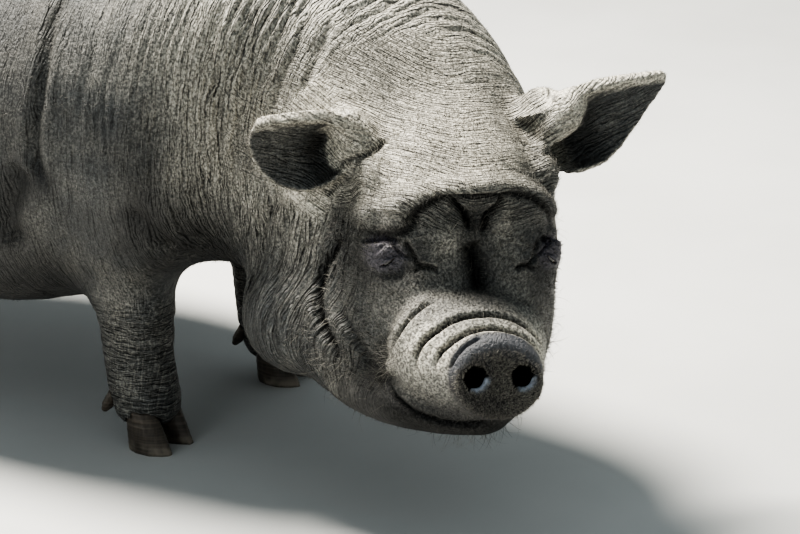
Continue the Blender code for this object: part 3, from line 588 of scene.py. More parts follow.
def slit_of(way, side):
    """For directions from an eye: metres along its slit, metres from the slit's rim, and the open share."""
    out, along, across = lid_axes(side)
    a, b = (way @ along) * EYE_RADIUS, (way @ across) * EYE_RADIUS
    half = SLIT_HALF_HEIGHT * np.clip(1 - (a / SLIT_HALF_LENGTH) ** 2, 0, 1) ** 0.8
    from_rim = np.abs(b - SLIT_DROP - 9.0 * a * a) - half
    open_share = ramp(from_rim, 0.0009, 0.0)
    open_share *= ramp(np.abs(a), SLIT_HALF_LENGTH + 0.0004, SLIT_HALF_LENGTH - 0.0010)
    return a, from_rim, open_share * (way @ out > 0)


def keep_off_eyes(points):
    """Holds the hide off the eyeballs wherever a furrow has cut through to them."""
    head = to_head(points)
    for side, gap, away in from_eyes(head):
        rows = np.nonzero(away < EYE_RADIUS + EYE_CLEARANCE)[0]
        way = gap[rows] / away[rows][:, None]
        least = (EYE_RADIUS + EYE_CLEARANCE) * (1 - slit_of(way, side)[2])
        head[rows] = EYES[side] + way * np.maximum(away[rows], least)[:, None]
    return from_head(head)


def shape_lids(points):
    """Wraps each eye in two wrinkled lids with a narrow slit between them, through which it shows."""
    head = to_head(points)
    for side, gap, away in from_eyes(head):
        facing = unit(np.array((side * 0.64, -0.74, 0.22)))
        rows = np.nonzero(away < EYE_RADIUS + LID_REACH)[0]
        gap, away = gap[rows], away[rows]
        way = gap / away[:, None]
        a, from_rim, open_share = slit_of(way, side)
        rim = np.exp(-(((from_rim - 0.0012) / 0.0009) ** 2)) * ramp(np.abs(a), 0.0125, 0.0090)
        wrinkle = 0.5 - 0.5 * np.cos(from_rim / 0.0024 * 2 * math.pi + 0.8 * np.sin(a / 0.004))
        target = EYE_RADIUS + LID_THICKNESS + 0.0006 * rim - 0.0013 * wrinkle * ramp(from_rim, 0.0012, 0.0035)
        target = target * (1 - open_share) + (EYE_RADIUS - 0.0030) * open_share
        near = ramp(way @ facing, 0.05, 0.40) * ramp(away, EYE_RADIUS + LID_REACH, EYE_RADIUS + 0.0030)
        head[rows] = EYES[side] + way * (away * (1 - near) + target * near)[:, None]
        gap = head - EYES[side]
        height = gap @ facing
        aside = np.linalg.norm(gap - height[:, None] * facing, axis=1)
        flare = FLARE_HEIGHT - FLARE_DROP * (1 - np.exp(-(aside - FLARE_START) / FLARE_LENGTH))
        share = ramp(aside, FLARE_START, FLARE_START + 0.0015) * ramp(aside, 0.032, 0.013) * (height > -0.006)
        head += (share * np.clip(flare - height, 0, None))[:, None] * facing
    return from_head(head)


# ---------------------------------------------------------------- where things are on the body


def spine_course(points):
    """Metres from tail to nose, metres around, metres to the side, and the way forward, for every point."""
    line = even_line([(x, y, 0.0) for x, y in SPINE], 0.02)
    steps = np.linalg.norm(np.diff(line, axis=0), axis=1)
    travelled = np.concatenate([[0.0], np.cumsum(steps)])
    heading = unit(np.gradient(line, axis=0))
    flat = points * (1, 1, 0)
    gaps = flat[:, None, :] - line[None]
    squares = (gaps**2).sum(axis=2)
    nearest = squares.min(axis=1, keepdims=True)
    weights = np.exp(-(squares - nearest) / (2 * 0.055**2))
    weights /= weights.sum(axis=1, keepdims=True)
    course = (weights * (np.einsum("nkd,kd->nk", gaps, heading) + travelled)).sum(axis=1)
    centre = weights @ line
    lean = weights @ heading
    sideways = (flat[:, 0] - centre[:, 0]) * -lean[:, 1] + (flat[:, 1] - centre[:, 1]) * lean[:, 0]
    around = np.arctan2(sideways, points[:, 2] - GIRTH_HEIGHT) * GIRTH_RADIUS
    return course, around, sideways, lean


def ear_axes(side):
    """Out along an ear, and out of its open face."""
    axis = unit(EAR_LINES[side])
    return axis, unit(EAR_FACES[side] - axis * EAR_FACES[side].dot(axis))


def ear_share(head):
    """How much each point belongs to an ear, and its place along the ear, across it and out of its face."""
    found = np.zeros((4, len(head)))
    for side in (LEFT, RIGHT):
        axis, face = ear_axes(side)
        gap = head - EAR_ROOTS[side]
        reach, wide, deep = gap @ axis, gap @ np.cross(axis, face), gap @ face
        inside = ramp(reach, 0.004, 0.022) * ramp(np.abs(wide), 0.075, 0.055)
        inside *= ramp(np.abs(deep), 0.05, 0.035)
        found = np.where(inside > found[0], (inside, reach, wide, deep), found)
    return found


def ear_band(along, across, sideways):
    """1 on the rolled upper rim of an ear, 0 below it."""
    made = np.zeros(len(along))
    for side, length in EAR_LENGTHS.items():
        edge = np.interp(along / length, EAR_EDGES[0], EAR_EDGES[side])
        band = ramp(-side * across, edge - 0.0120, edge - 0.0060)
        made = np.where(sideways * side > 0, band, made)
    return made


def ear_hollow(head, normals):
    """How squarely each point of an ear faces the middle of its cup, from -1 on its back to 1 inside."""
    made = np.zeros(len(head))
    for side in (LEFT, RIGHT):
        axis, face = ear_axes(side)
        reach = (head - EAR_ROOTS[side]) @ axis
        depth = 0.024 + 0.15 * np.clip(reach, 0, 0.12)
        cup = EAR_ROOTS[side] + reach[:, None] * axis + face * depth[:, None]
        made = np.where(head[:, 0] * side > 0, (unit(cup - head) * normals).sum(axis=1), made)
    return made


def map_of(points, normals):
    """Everything the materials and the coat need to know about each point of the hide."""
    head = to_head(points)
    disc = to_disc(head)
    course, around, sideways, lean = spine_course(points)
    ear, ear_along, ear_across, ear_front = ear_share(head)
    on_left = (head[:, 0] > 0)[:, None]
    ear_way = np.where(on_left, *(from_head(EAR_LINES[side]) - HEAD_PLACE for side in (LEFT, RIGHT)))
    on_disc = ramp(disc[:, 1], 0.0130, 0.0100)
    on_disc *= ramp(np.hypot(disc[:, 0] / 0.0445, disc[:, 2] / 0.0405), 1.06, 1.0)
    nostril, gleam, lid = np.zeros((3, len(points)))
    for side in (LEFT, RIGHT):
        across, up = disc[:, 0] - side * NOSTRIL_AT[0], disc[:, 2] - NOSTRIL_AT[2]
        away = np.hypot(across, up)
        inside = ramp(away, 0.0132, 0.0112) * ramp(disc[:, 1], 0.0004, 0.0020)
        nostril = np.maximum(nostril, inside)
        low = (0.55 * across - 0.83 * up) / np.maximum(away, 1e-5)
        band = ramp(disc[:, 1], 0.0006, 0.0018) * ramp(disc[:, 1], 0.0100, 0.0060)
        # The nostril's low wall, where a painted highlight goes.
        gleam = np.maximum(gleam, inside * band * ramp(low, 0.30, 0.62))
    nostril *= ramp(disc[:, 1], 0.030, 0.025)
    high = ramp(disc[:, 2], 0.0, 0.026)
    round_disc = np.hypot(disc[:, 0] / 0.0395, disc[:, 2] / 0.0355)
    # The disc's upper rim, where a painted highlight goes.
    disc_rim = ramp(round_disc, 0.88 - 0.26 * high, 0.98 - 0.24 * high) * ramp(disc[:, 2], -0.006, 0.014)
    for side, gap, _ in from_eyes(head):
        share = np.linalg.norm((gap - (side * 0.003, 0.0, 0.001)) / (0.023, 0.030, 0.0175), axis=1)
        lid = np.maximum(lid, ramp(share, 1.05, 0.70))
    return SimpleNamespace(
        points=points, normals=normals, head=head, disc=disc, course=course, around=around, lean=lean,
        sideways=sideways, ear=ear, ear_along=ear_along, ear_across=ear_across, ear_front=ear_front,
        ear_way=ear_way, on_disc=on_disc, nostril=nostril, lid=lid, gleam=gleam, disc_rim=disc_rim,
        leg=ramp(points[:, 2], 0.175, 0.125) * ramp(head[:, 1], 0.03, 0.12),
        brow=ramp(head[:, 2], 0.020, 0.048) * ramp(head[:, 1], 0.135, 0.085) * (1 - ear),
        tail=ramp(points[:, 1], 0.510, 0.530),
        muzzle=ramp(head[:, 1], -0.052, -0.078) * ramp(head[:, 2], 0.01, -0.015),
        front=ramp(head[:, 1], 0.03, -0.01),
        hollow=ear_hollow(head, normals @ HEAD_TURN),
        ear_band=ear * ear_band(ear_along, ear_across, head[:, 0]),
    )


def line_fields(here):
    """Three sets of coordinates across and along the wrinkles: around the body, over the brow, on limbs."""
    points, head = here.points, here.head
    zero = np.zeros(len(points))
    body = np.stack([here.course, here.around, zero], axis=1)
    swept = 0.72 - 0.25 * np.tanh(head[:, 0] / 0.03)
    arc = head[:, 2] + 0.8 * head[:, 1] - swept * (np.hypot(head[:, 0], 0.02) - 0.02)
    brow = np.stack([arc, head[:, 0] * 1.3, zero], axis=1)
    ear = here.ear[:, None]
    limb = np.stack([points[:, 2], np.arctan2(points[:, 1], points[:, 0]) * 0.25, zero], axis=1)
    ears = np.stack([here.ear_across + 3.0, here.ear_along, here.ear_front], axis=1)
    limb = limb * (ear < 0.02) + ears * (ear >= 0.02)
    return body, brow, limb


def sum_of_blobs(head, blobs):
    """Soft spots, given in head axes and millimetres: centre, radius and strength."""
    total = np.zeros(len(head))
    for centre, radius, strength in blobs:
        total += strength * np.exp(-(((head - metres(centre)) / metres(radius)) ** 2).sum(axis=1))
    return total


# Where the hide is dark, much of it painted shade under the brow and the jaw, in the frown pit and round the
# sunk eyes, and where dust with painted light lies on tops and swellings: centre, radius and strength.
DARK_AND_SHADE_SPOTS = (
    ((-80, -18, -2), (34, 36, 28), 1.1), ((72, -26, 2), (34, 36, 34), 1.1),
    ((0, -50, 0), (20, 30, 32), 1.0), ((-50, -40, 8), (24, 20, 20), 0.6),
    ((-82, -42, -98), (16, 24, 22), 1.0), ((70, -44, -98), (20, 30, 24), 1.0),
    ((74, -46, -20), (20, 30, 40), 0.7), ((0, -50, 40), (65, 16, 14), 0.75),
    ((-100, 30, -20), (10, 30, 40), 0.3), ((-104, 34, 20), (14, 26, 24), 0.7),
    ((-30, -80, -136), (100, 90, 26), 1.3), ((0, -126, -119), (60, 30, 12), 1.0),
    ((0, -76, -22), (50, 22, 13), 0.4), ((-30, -90, -130), (80, 70, 22), 1.6),
    ((-100, -4, -85), (30, 40, 30), 0.35),
)
DUST_AND_LIGHT_SPOTS = (
    ((-45, 0, 92), (60, 60, 36), 1.35), ((30, -5, 94), (60, 50, 26), 0.65),
    ((-85, 20, 50), (25, 40, 26), 0.42), ((0, -108, -58), (66, 23, 21), 1.0),
    ((-58, -88, -62), (22, 32, 26), 0.52), ((50, -88, -60), (20, 32, 26), 0.5),
    ((-40, -60, -20), (30, 24, 14), 0.14), ((22, -46, 36), (12, 20, 16), 0.75),
    ((-26, -46, 22), (16, 20, 16), 0.5), ((-74, -60, -84), (10, 12, 10), 0.55),
    ((30, -60, -18), (22, 20, 14), 0.14), ((-90, 36, 92), (22, 24, 22), 0.75),
    ((104, 44, 112), (20, 24, 22), 0.7),
)


def markings(here, crease):
    """Dust with painted light, darkness with painted shade, disc, and wetness with painted highlights, for
    each point, all from 0 to 1.
    """
    head, around, ear = here.head, here.around, here.ear
    course, height, upwards = here.course, here.points[:, 2], here.normals[:, 2]

    def patches(size, seed):
        return noise(course / size, around / size, seed)

    patch = patches(0.05, 11) * 0.5 + patches(0.021, 12) * 0.35
    patch += noise(head[:, 0] / 0.009, (head[:, 2] + head[:, 1]) / 0.009, 13) * 0.30
    upward = ramp(upwards, -0.35, 0.90)
    in_face = ramp(head[:, 1], 0.07, 0.0)
    far_back = 1 - in_face
    on_neck = ramp(course, 0.73, 0.83) * far_back
    # Dust with painted light: paler on upward-facing surfaces, and most of all along the neck's top.
    dust_and_light = (0.03 + 0.07 * upward) * ramp(height, 0.02, 0.20)
    dust_and_light += (0.50 + 0.08 * upward) * on_neck * ramp(height, 0.18, 0.30)
    dust_and_light = dust_and_light * far_back + in_face * 0.21
    dust_and_light += sum_of_blobs(head, DUST_AND_LIGHT_SPOTS) * (0.6 + 0.4 * upward)
    dark = sum_of_blobs(head, DARK_AND_SHADE_SPOTS)
    mottle = (patches(0.085, 15) + 0.5 * patches(0.035, 16)) * far_back
    dust_and_light += 0.16 * mottle * (1 - 0.4 * on_neck)
    blotches = 0.45 * ramp(mottle, 0.05, -0.75) * (1 - 0.6 * on_neck)
    dark += 0.58 * ramp(course, 0.72, 0.64) * far_back + blotches
    dust_and_light += 0.10 * here.leg
    dark += 0.02 * ramp(height, 0.28, 0.15) * far_back * ramp(head[:, 1], 0.10, 0.18)
    # Painted shade on downward-facing surfaces low on the body.
    dark += 0.5 * ramp(upwards, -0.1, -0.8) * ramp(height, 0.35, 0.2)
    # Painted shade in the hollow behind each elbow, under the throat.
    behind_elbow = np.exp(-((here.points * (0, 1, 1) - (0, -0.165, 0.245)) ** 2).sum(axis=1) / 0.05**2)
    dark += 0.9 * behind_elbow * ramp(head[:, 1], 0.08, 0.14)
    # Dust and painted light on the ears' rims, backs and root lobes.
    ear_rim = np.maximum(here.ear_band, 0.45 * ear * ramp(np.abs(here.hollow + 0.05), 0.60, 0.15))
    lobe = np.zeros(len(head))
    for centre, radius in EAR_LOBES:
        share = np.linalg.norm(head - metres(centre), axis=1) / (radius / 1000)
        lobe = np.maximum(lobe, ramp(share, 1.30, 1.12))
    lobe *= ramp(head[:, 1], 0.085, 0.070)
    # Painted shade deep in each ear's cup, towards its root.
    in_cup = ear * ramp(here.hollow, 0.10, 0.50) * (1 - ear_rim) * (1 - lobe)
    dust_and_light = dust_and_light * (1 - in_cup) + 0.25 * ear * ramp(here.hollow, 0.1, -0.4) + 0.65 * ear_rim
    dust_and_light = np.maximum(dust_and_light, 0.62 * lobe) + 0.10 * in_cup
    dark = dark * (1 - ear) + in_cup * (0.86 * ramp(here.ear_along, 0.056, 0.036))
    dust_and_light = dust_and_light * (1 - 0.55 * np.clip(dark, 0, 1)) * (1 - 0.7 * here.lid) + patch * 0.18
    # Painted shade in the furrows' bottoms: no dust there, and at least as dark as the crease.
    dust_and_light = np.clip(dust_and_light, 0, 1) * (1 - crease)
    dark = dark * (1 - 0.8 * sum_of_blobs(head, DUST_AND_LIGHT_SPOTS[PALE_IN_DARK])) * (1 - 0.6 * here.lid)
    dark = np.maximum(np.clip(dark + patch * 0.12, 0, 1), crease)
    # Wetness, which on the disc also carries the painted highlight of its upper rim and of the nostrils'
    # walls.
    wet_and_highlight = np.clip(0.12 * here.disc_rim * here.on_disc + here.gleam + 0.60 * here.lid, 0, 1)
    return np.stack([dust_and_light, dark, here.on_disc, wet_and_highlight], axis=1)


def wrinkle_moves(here):
    """Relief of the loose skin, as metres inwards along the normals."""
    body, brow, limb = (lines[:, :2].T for lines in line_fields(here))
    head = here.head
    neck = ramp(here.course, 0.62, 0.74) * ramp(head[:, 1], -0.02, 0.06)
    cheek = ramp(head[:, 1], 0.12, 0.03) * ramp(head[:, 2], 0.03, -0.01)
    cheek *= ramp(np.abs(head[:, 0]), 0.05, 0.08)
    calm = 1 - np.clip(here.on_disc + here.ear, 0, 1)
    for _, _, away in from_eyes(head):
        calm *= ramp(away, 0.015, 0.024)
    broad = folds(*body, 0.0088, 0.11, 21) * (0.0004 + 0.0014 * neck + 0.0010 * cheek)
    deep = folds(*body, 0.023, 0.16, 22) * (0.0004 + 0.0012 * neck + 0.0007 * cheek)
    over_brow = folds(*brow, 0.0100, 0.080, 23) * 0.0008
    on_limb = folds(*limb, 0.0120, 0.060, 24) * 0.0008
    relief = (broad + deep) * (1 - here.brow) * (1 - here.leg)
    relief += over_brow * here.brow + on_limb * here.leg
    relief *= 1 - 0.75 * here.muzzle
    relief *= 1 - 0.8 * here.front * (1 - here.brow)
    return relief * calm * ramp(here.points[:, 2], 0.03, 0.06)


def lie_of(here):
    """Which way the hair lies, as unit rows along the surface."""
    fan = here.head - (0.0, -0.075, -0.045)
    fan = unit(fan * (1.0, 0.6, 1.2) + (0.0, 0.25, 0.0)) @ HEAD_TURN.T
    face = ramp(here.head[:, 1], 0.06, 0.0)[:, None]
    way = ((0, 0, -0.45) - here.lean) * (1 - face) + fan * face * 1.4
    for share, towards in (
        (here.brow, np.array((0.0, 0.75, 0.60)) @ HEAD_TURN.T),
        (here.leg, np.array((0, 0.15, -1.0))),
        (here.ear, here.ear_way),
        (here.tail, np.array((0, 0.1, -1.0))),
    ):
        way = way * (1 - share[:, None]) + towards * share[:, None]
    return unit(way - here.normals * (way * here.normals).sum(axis=1, keepdims=True))


def angle_of(first, second):
    """The angle between two measures as a share of a turn."""
    return np.arctan2(first, second) / (2 * math.pi) + 0.5


def unwrap(here):
    """One flat place for each point, cut into cells: body, head, ears and legs."""
    points, head = here.points, here.head
    turn = angle_of(here.sideways, points[:, 2] - GIRTH_HEIGHT)
    place = np.stack([0.02 + 0.54 * turn, 0.02 + 0.74 * np.clip(here.course, 0, 1.3) / 1.3], axis=1)
    in_head = head[:, 1] < 0.105
    round_head = angle_of(head[:, 0], head[:, 2] + 0.03)
    sweep = 0.02 + 0.36 * np.clip((head[:, 1] + 0.16) / 0.27, 0, 1)
    place[in_head] = np.stack([0.58 + 0.40 * round_head, sweep], axis=1)[in_head]
    for k, side in enumerate((LEFT, RIGHT)):
        rows = (here.ear > 0.3) & (head[:, 0] * side > 0)
        flip = np.where(here.ear_front > 0.004, 0.0, 0.10)
        place[rows, 0] = (0.60 + 0.20 * k + flip + 0.08 * (here.ear_across + 0.06) / 0.12)[rows]
        place[rows, 1] = (0.42 + 0.12 * np.clip(here.ear_along / 0.12, 0, 1))[rows]
    low = (points[:, 2] < LEG_TOP) & ~in_head
    feet = [(side, end) for side in SIDES for end in ("front", "back")]
    for corner, (side, end) in enumerate(feet):
        rows = low & (points[:, 0] * SIDES[side] > 0.03) & ((points[:, 1] < 0.14) == (end == "front"))
        foot = middle_of_foot(end, side)
        angle = angle_of(points[:, 0] - foot.x, points[:, 1] - foot.y)
        place[rows, 0] = (0.58 + 0.10 * corner + 0.09 * angle)[rows]
        place[rows, 1] = (0.58 + 0.16 * points[:, 2] / LEG_TOP)[rows]
    return place


def map_and_store(mesh, crease):
    """Stores the markings and the wrinkles' coordinates on the hide."""
    here = map_of(*read(mesh)[:2])
    # Painted shade along the lower lip, under the disc, kept with the furrows' shade.
    low_lip = ramp(here.head[:, 2], -0.107, -0.117) * ramp(here.head[:, 1], -0.03, -0.08)
    crease = np.maximum(crease, 0.85 * low_lip * (1 - here.on_disc))
    store(mesh, "tone", markings(here, crease))
    store(mesh, "crease", crease, "FLOAT")
    for name, rows in zip(LINE_NAMES, line_fields(here)):
        store(mesh, name, rows, "FLOAT_VECTOR")
    limb_share = np.clip(here.leg + ramp(here.ear, 0.3, 0.8), 0, 1)
    flat_face = here.front * (1 - here.brow) * ramp(np.abs(here.head[:, 0]), 0.105, 0.075)
    pebbled = 0.60 * ramp(here.course, 0.86, 0.74) * (1 - here.leg)
    smooth_share = here.on_disc + 0.45 * here.muzzle + 0.4 * here.ear + 0.8 * flat_face + pebbled
    rows = [here.brow, limb_share, np.clip(smooth_share, 0, 1), here.nostril]
    store(mesh, "fields", np.stack(rows, axis=1))


# ---------------------------------------------------------------- materials


def plug(tree, made, plugs):
    """Sets a node's inputs to constants, or joins them to other nodes' outputs."""
    for key, value in plugs.items():
        if isinstance(value, bpy.types.NodeSocket):
            tree.links.new(value, made.inputs[key])
        else:
            made.inputs[key].default_value = value
    return made


def node(tree, kind, plugs, **settings):
    """A shader node with these inputs and settings."""
    made = tree.nodes.new("ShaderNode" + kind)
    for key, value in settings.items():
        setattr(made, key, value)
    return plug(tree, made, plugs)


def reckon(tree, operation, first, second):
    return node(tree, "Math", {0: first, 1: second}, operation=operation).outputs[0]


def times(tree, first, second):
    return reckon(tree, "MULTIPLY", first, second)


def less(tree, first, second):
    return reckon(tree, "SUBTRACT", first, second)


def combined(tree, *parts):
    return node(tree, "CombineXYZ", dict(enumerate(parts))).outputs[0]


def object_place(tree):
    return node(tree, "TexCoord", {}).outputs["Object"]


def blend(tree, share, first, second, mode="MIX"):
    """Mixes two colours."""
    plugs = {0: share, 6: first, 7: second}
    return node(tree, "Mix", plugs, data_type="RGBA", blend_type=mode).outputs[2]


def between(tree, share, first, second):
    """Mixes two numbers."""
    return node(tree, "Mix", {0: share, 2: first, 3: second}, data_type="FLOAT").outputs[0]


def span(tree, value, low, high, out_low=0.0, out_high=1.0):
    plugs = {0: value, 1: low, 2: high, 3: out_low, 4: out_high}
    return node(tree, "MapRange", plugs, interpolation_type="SMOOTHSTEP").outputs[0]


def grain(tree, place, scale, detail=2.0, roughness=0.5):
    plugs = {"Vector": place, "Scale": scale, "Detail": detail, "Roughness": roughness}
    return node(tree, "TexNoise", plugs).outputs["Fac"]


def stretched(tree, place, scale):
    """A place with a scale of its own along each axis."""
    return node(tree, "VectorMath", {0: place, 1: scale}, operation="MULTIPLY").outputs[0]


def attribute(tree, name):
    return node(tree, "Attribute", {}, attribute_name=name, attribute_type="GEOMETRY").outputs


def bump_of(tree, strength, distance, height):
    plugs = {"Strength": strength, "Distance": distance, "Height": height}
    return node(tree, "Bump", plugs).outputs[0]


def parts_of(tree, colour):
    return node(tree, "SeparateColor", {0: colour}).outputs


def group(name, inputs, output, kind):
    """An empty node group with these inputs and one output: its tree, input sockets and output node."""
    tree = bpy.data.node_groups.new(name, "ShaderNodeTree")
    for label, sort in inputs.items():
        tree.interface.new_socket(label, in_out="INPUT", socket_type="NodeSocket" + sort)
    tree.interface.new_socket(output, in_out="OUTPUT", socket_type="NodeSocket" + kind)
    return tree, tree.nodes.new("NodeGroupInput").outputs, tree.nodes.new("NodeGroupOutput")


def use(tree, shared, plugs):
    """Places a shared group in a material."""
    return node(tree, "Group", plugs, node_tree=shared).outputs[0]


def furrow_group():
    """Height of long wandering furrows that run along the second coordinate: 0 in one, 1 between."""
    inputs = {"Lines": "Vector", "Spacing": "Float", "Stretch": "Float", "Width": "Float"}
    tree, start, end = group("fine_furrows", inputs, "Height", "Float")
    parts = node(tree, "SeparateXYZ", {0: start["Lines"]}).outputs
    across = reckon(tree, "DIVIDE", parts[0], start["Spacing"])
    along = reckon(tree, "DIVIDE", parts[1], times(tree, start["Spacing"], start["Stretch"]))
    slow = combined(tree, times(tree, across, 0.28), along, parts[2])
    bend = times(tree, less(tree, grain(tree, slow, 1.0, 1.5), 0.5), 3.4)
    wave = reckon(tree, "PINGPONG", reckon(tree, "ADD", across, bend), 0.5)
    height = span(tree, wave, 0.0, start["Width"])
    patchy = combined(tree, times(tree, across, 0.9), along, 3.0)
    faded = span(tree, grain(tree, patchy, 1.2, 1.0), 0.34, 0.60, 0.85, 0.0)
    tree.links.new(between(tree, faded, height, 1.0), end.inputs["Height"])
    return tree


def marking_group(colours):
    """Colour of hide and hair from the stored markings: dust with painted light, darkness with painted shade,
    disc, and wetness with painted highlights; painted shade in the furrows' bottoms.
    """
    inputs = {"Tone": "Color", "Wet_and_highlight": "Float", "Relief": "Float", "Speckle": "Float"}
    tree, start, end = group("hide_markings", inputs, "Color", "Color")
    dust_and_light, dark, disc = parts_of(tree, start["Tone"])[:3]
    # Painted shade: the hide darkens to the furrow colour in the bottoms of the relief's furrows.
    hide = blend(tree, start["Relief"], (*colours.furrow_shade_colour, 1), (*colours.hide_colour, 1))
    # Dust and painted light gather on the ridges of the relief.
    caught = times(tree, dust_and_light, span(tree, start["Relief"], 0.15, 0.85, 0.06, 1.12))
    caught = times(tree, caught, span(tree, start["Speckle"], 0.30, 0.70, 0.62, 1.15))
    dusted_and_lit = blend(tree, caught, hide, (*colours.dust_and_light_colour, 1))
    shaded = blend(tree, times(tree, dark, 0.82), dusted_and_lit, (*colours.dark_colour, 1))
    lids = blend(tree, start["Wet_and_highlight"], shaded, (*colours.lid_colour, 1))
    # Painted highlight on the disc's moist upper rim and on the nostrils' walls.
    rimmed = blend(tree, start["Wet_and_highlight"], (*colours.disc_colour, 1), (*colours.wet_highlight_colour, 1))
    tree.links.new(blend(tree, disc, lids, rimmed), end.inputs["Color"])
    return tree


def principled(material, plugs):
    """Sets the material's own shader, and hands the material back."""
    tree = material.node_tree
    plug(tree, tree.nodes["Principled BSDF"], plugs)
    return material


def new_material(name):
    material = bpy.data.materials.new(name)
    material.use_nodes = True
    return material, material.node_tree


def hide_material(shared_furrows, shared_markings):
    """Loose, finely wrinkled skin with dust and painted light on its ridges, painted shade in its furrows,
    and short hair lying flat on it.
    """
    material, tree = new_material("pig_hide")
    tone, fields = attribute(tree, "tone"), attribute(tree, "fields")
    _, dark, on_disc = parts_of(tree, tone["Color"])[:3]
    brow, limb, smooth = parts_of(tree, fields["Color"])[:3]
    heights = []
    for name, coarse, fine in zip(LINE_NAMES, (0.0056, 0.0042, 0.0044), (0.0026, 0.0021, 0.0021)):
        lines = attribute(tree, name)["Vector"]
        big = use(tree, shared_furrows, {"Lines": lines, "Spacing": coarse, "Stretch": 11.0, "Width": 0.32})
        small = use(tree, shared_furrows, {"Lines": lines, "Spacing": fine, "Stretch": 7.0, "Width": 0.40})
        heights.append(between(tree, 0.42, big, small))
    relief = between(tree, limb, between(tree, brow, heights[0], heights[1]), heights[2])
    relief = between(tree, smooth, relief, 0.85)
    pebble = grain(tree, object_place(tree), 430.0, 3.0, 0.65)
    hairs = stretched(tree, attribute(tree, "lines_body")["Vector"], (640.0, 300.0, 640.0))
    flecks = between(tree, smooth, grain(tree, hairs, 1.0, 2.0, 0.6), pebble)
    speckle = between(tree, 0.5, pebble, flecks)
    plugs = {"Tone": tone["Color"], "Wet_and_highlight": tone["Alpha"], "Relief": relief, "Speckle": speckle}
    colour = use(tree, shared_markings, plugs)
    strength = between(tree, on_disc, between(tree, smooth, 1.0, 0.75), 0.30)
    contrast = between(tree, smooth, 0.55, 0.70)
    low, high = less(tree, 1.0, contrast), reckon(tree, "ADD", 1.0, contrast)
    speckled = blend(tree, 1.0, colour, span(tree, speckle, 0.37, 0.63, low, high), "MULTIPLY")
    colour = blend(tree, strength, colour, speckled)
    light_hair = times(tree, span(tree, flecks, 0.56, 0.66, 0.0, 0.30), strength)
    light_hair = times(tree, light_hair, less(tree, 1.0, times(tree, dark, 0.8)))
    colour = blend(tree, light_hair, colour, (0.34, 0.325, 0.285, 1))
    # Painted shade: the nostrils' insides near black, save where their walls carry the painted highlight.
    nostril_shade = times(tree, fields["Alpha"], less(tree, 1.0, tone["Alpha"]))
    colour = blend(tree, nostril_shade, colour, (0.003, 0.0025, 0.0025, 1))
    height = reckon(tree, "ADD", relief, times(tree, speckle, between(tree, smooth, 0.25, 0.60)))
    moist = times(tree, tone["Alpha"], between(tree, on_disc, 0.20, 1.0))
    hidden = reckon(tree, "MAXIMUM", nostril_shade, attribute(tree, "crease")["Fac"])
    return principled(material, {
        "Base Color": colour,
        "Roughness": between(tree, moist, span(tree, speckle, 0.3, 0.7, 0.44, 0.66), 0.22),
        "Normal": bump_of(tree, 1.0, 0.0034, height),
        "Specular IOR Level": between(tree, hidden, 0.62, 0.02),
    })


def coat_material(shared_markings):
    """Short coarse bristles: dark ones, and pale ones that catch the light."""
    material, tree = new_material("pig_hair")
    tone = attribute(tree, "tone")["Color"]
    shade, share, own = parts_of(tree, attribute(tree, "tuft")["Color"])[:3]
    under = use(tree, shared_markings, {"Tone": tone, "Wet_and_highlight": 0.0, "Relief": 0.75, "Speckle": shade})
    darkness = parts_of(tree, tone)[1]
    pale = times(tree, span(tree, shade, 0.52, 0.88), between(tree, darkness, 1.0, 0.35))
    hair = blend(tree, pale, (0.020, 0.018, 0.016, 1), (0.56, 0.53, 0.46, 1))
    colour = blend(tree, between(tree, own, 0.22, 0.95), under, hair)
    colour = blend(tree, span(tree, share, 0.0, 0.5, 0.35, 0.0), colour, (0.02, 0.018, 0.017, 1))
    rough = span(tree, grain(tree, object_place(tree), 300.0), 0.3, 0.7, 0.42, 0.60)
    return principled(material, {"Base Color": colour, "Roughness": rough, "Specular IOR Level": 0.5})


def horn_material():
    """Dark horn with growth rings, scuffed pale at the ground."""
    material, tree = new_material("pig_horn")
    place = object_place(tree)
    height = node(tree, "SeparateXYZ", {0: place}).outputs[2]
    warp = grain(tree, place, 45.0, 3.0)
    rings = grain(tree, stretched(tree, place, (14.0, 14.0, 520.0)), 1.0)
    streak = grain(tree, stretched(tree, place, (420.0, 420.0, 30.0)), 1.0)
    scuff = times(tree, span(tree, height, 0.016, 0.001), span(tree, warp, 0.35, 0.65))
    colour = blend(tree, streak, (0.020, 0.017, 0.015, 1), (0.085, 0.068, 0.052, 1))
    colour = blend(tree, span(tree, rings, 0.45, 0.70, 0.0, 0.5), colour, (0.14, 0.115, 0.09, 1))
    colour = blend(tree, scuff, colour, (0.30, 0.26, 0.21, 1))
    relief = reckon(tree, "ADD", rings, times(tree, streak, 0.35))
    rough = between(tree, scuff, span(tree, warp, 0.3, 0.7, 0.38, 0.55), 0.8)
    normal = bump_of(tree, 0.5, 0.0006, relief)
    return principled(material, {"Base Color": colour, "Roughness": rough, "Normal": normal})


def eye_material():
    """Near-black brown iris around a round pupil, under a wet cornea."""
    material, tree = new_material("pig_eye")
    radius, turn = parts_of(tree, attribute(tree, "iris")["Color"])[:2]
    fibres = grain(tree, combined(tree, times(tree, turn, 40.0), times(tree, radius, 3.0)), 1.0, 3.0)
    colour = blend(tree, fibres, (0.018, 0.009, 0.005, 1), (0.095, 0.050, 0.024, 1))
    for start, end, ring in (
        (0.30, 0.24, (0.002, 0.002, 0.002, 1)), (0.56, 0.64, (0.030, 0.022, 0.020, 1)),
        (0.72, 0.95, (0.20, 0.13, 0.12, 1)),
    ):
        colour = blend(tree, span(tree, radius, start, end), colour, ring)
    return principled(material, {
        "Base Color": colour, "Roughness": 0.12, "Coat Weight": 1.0, "Coat Roughness": 0.03})


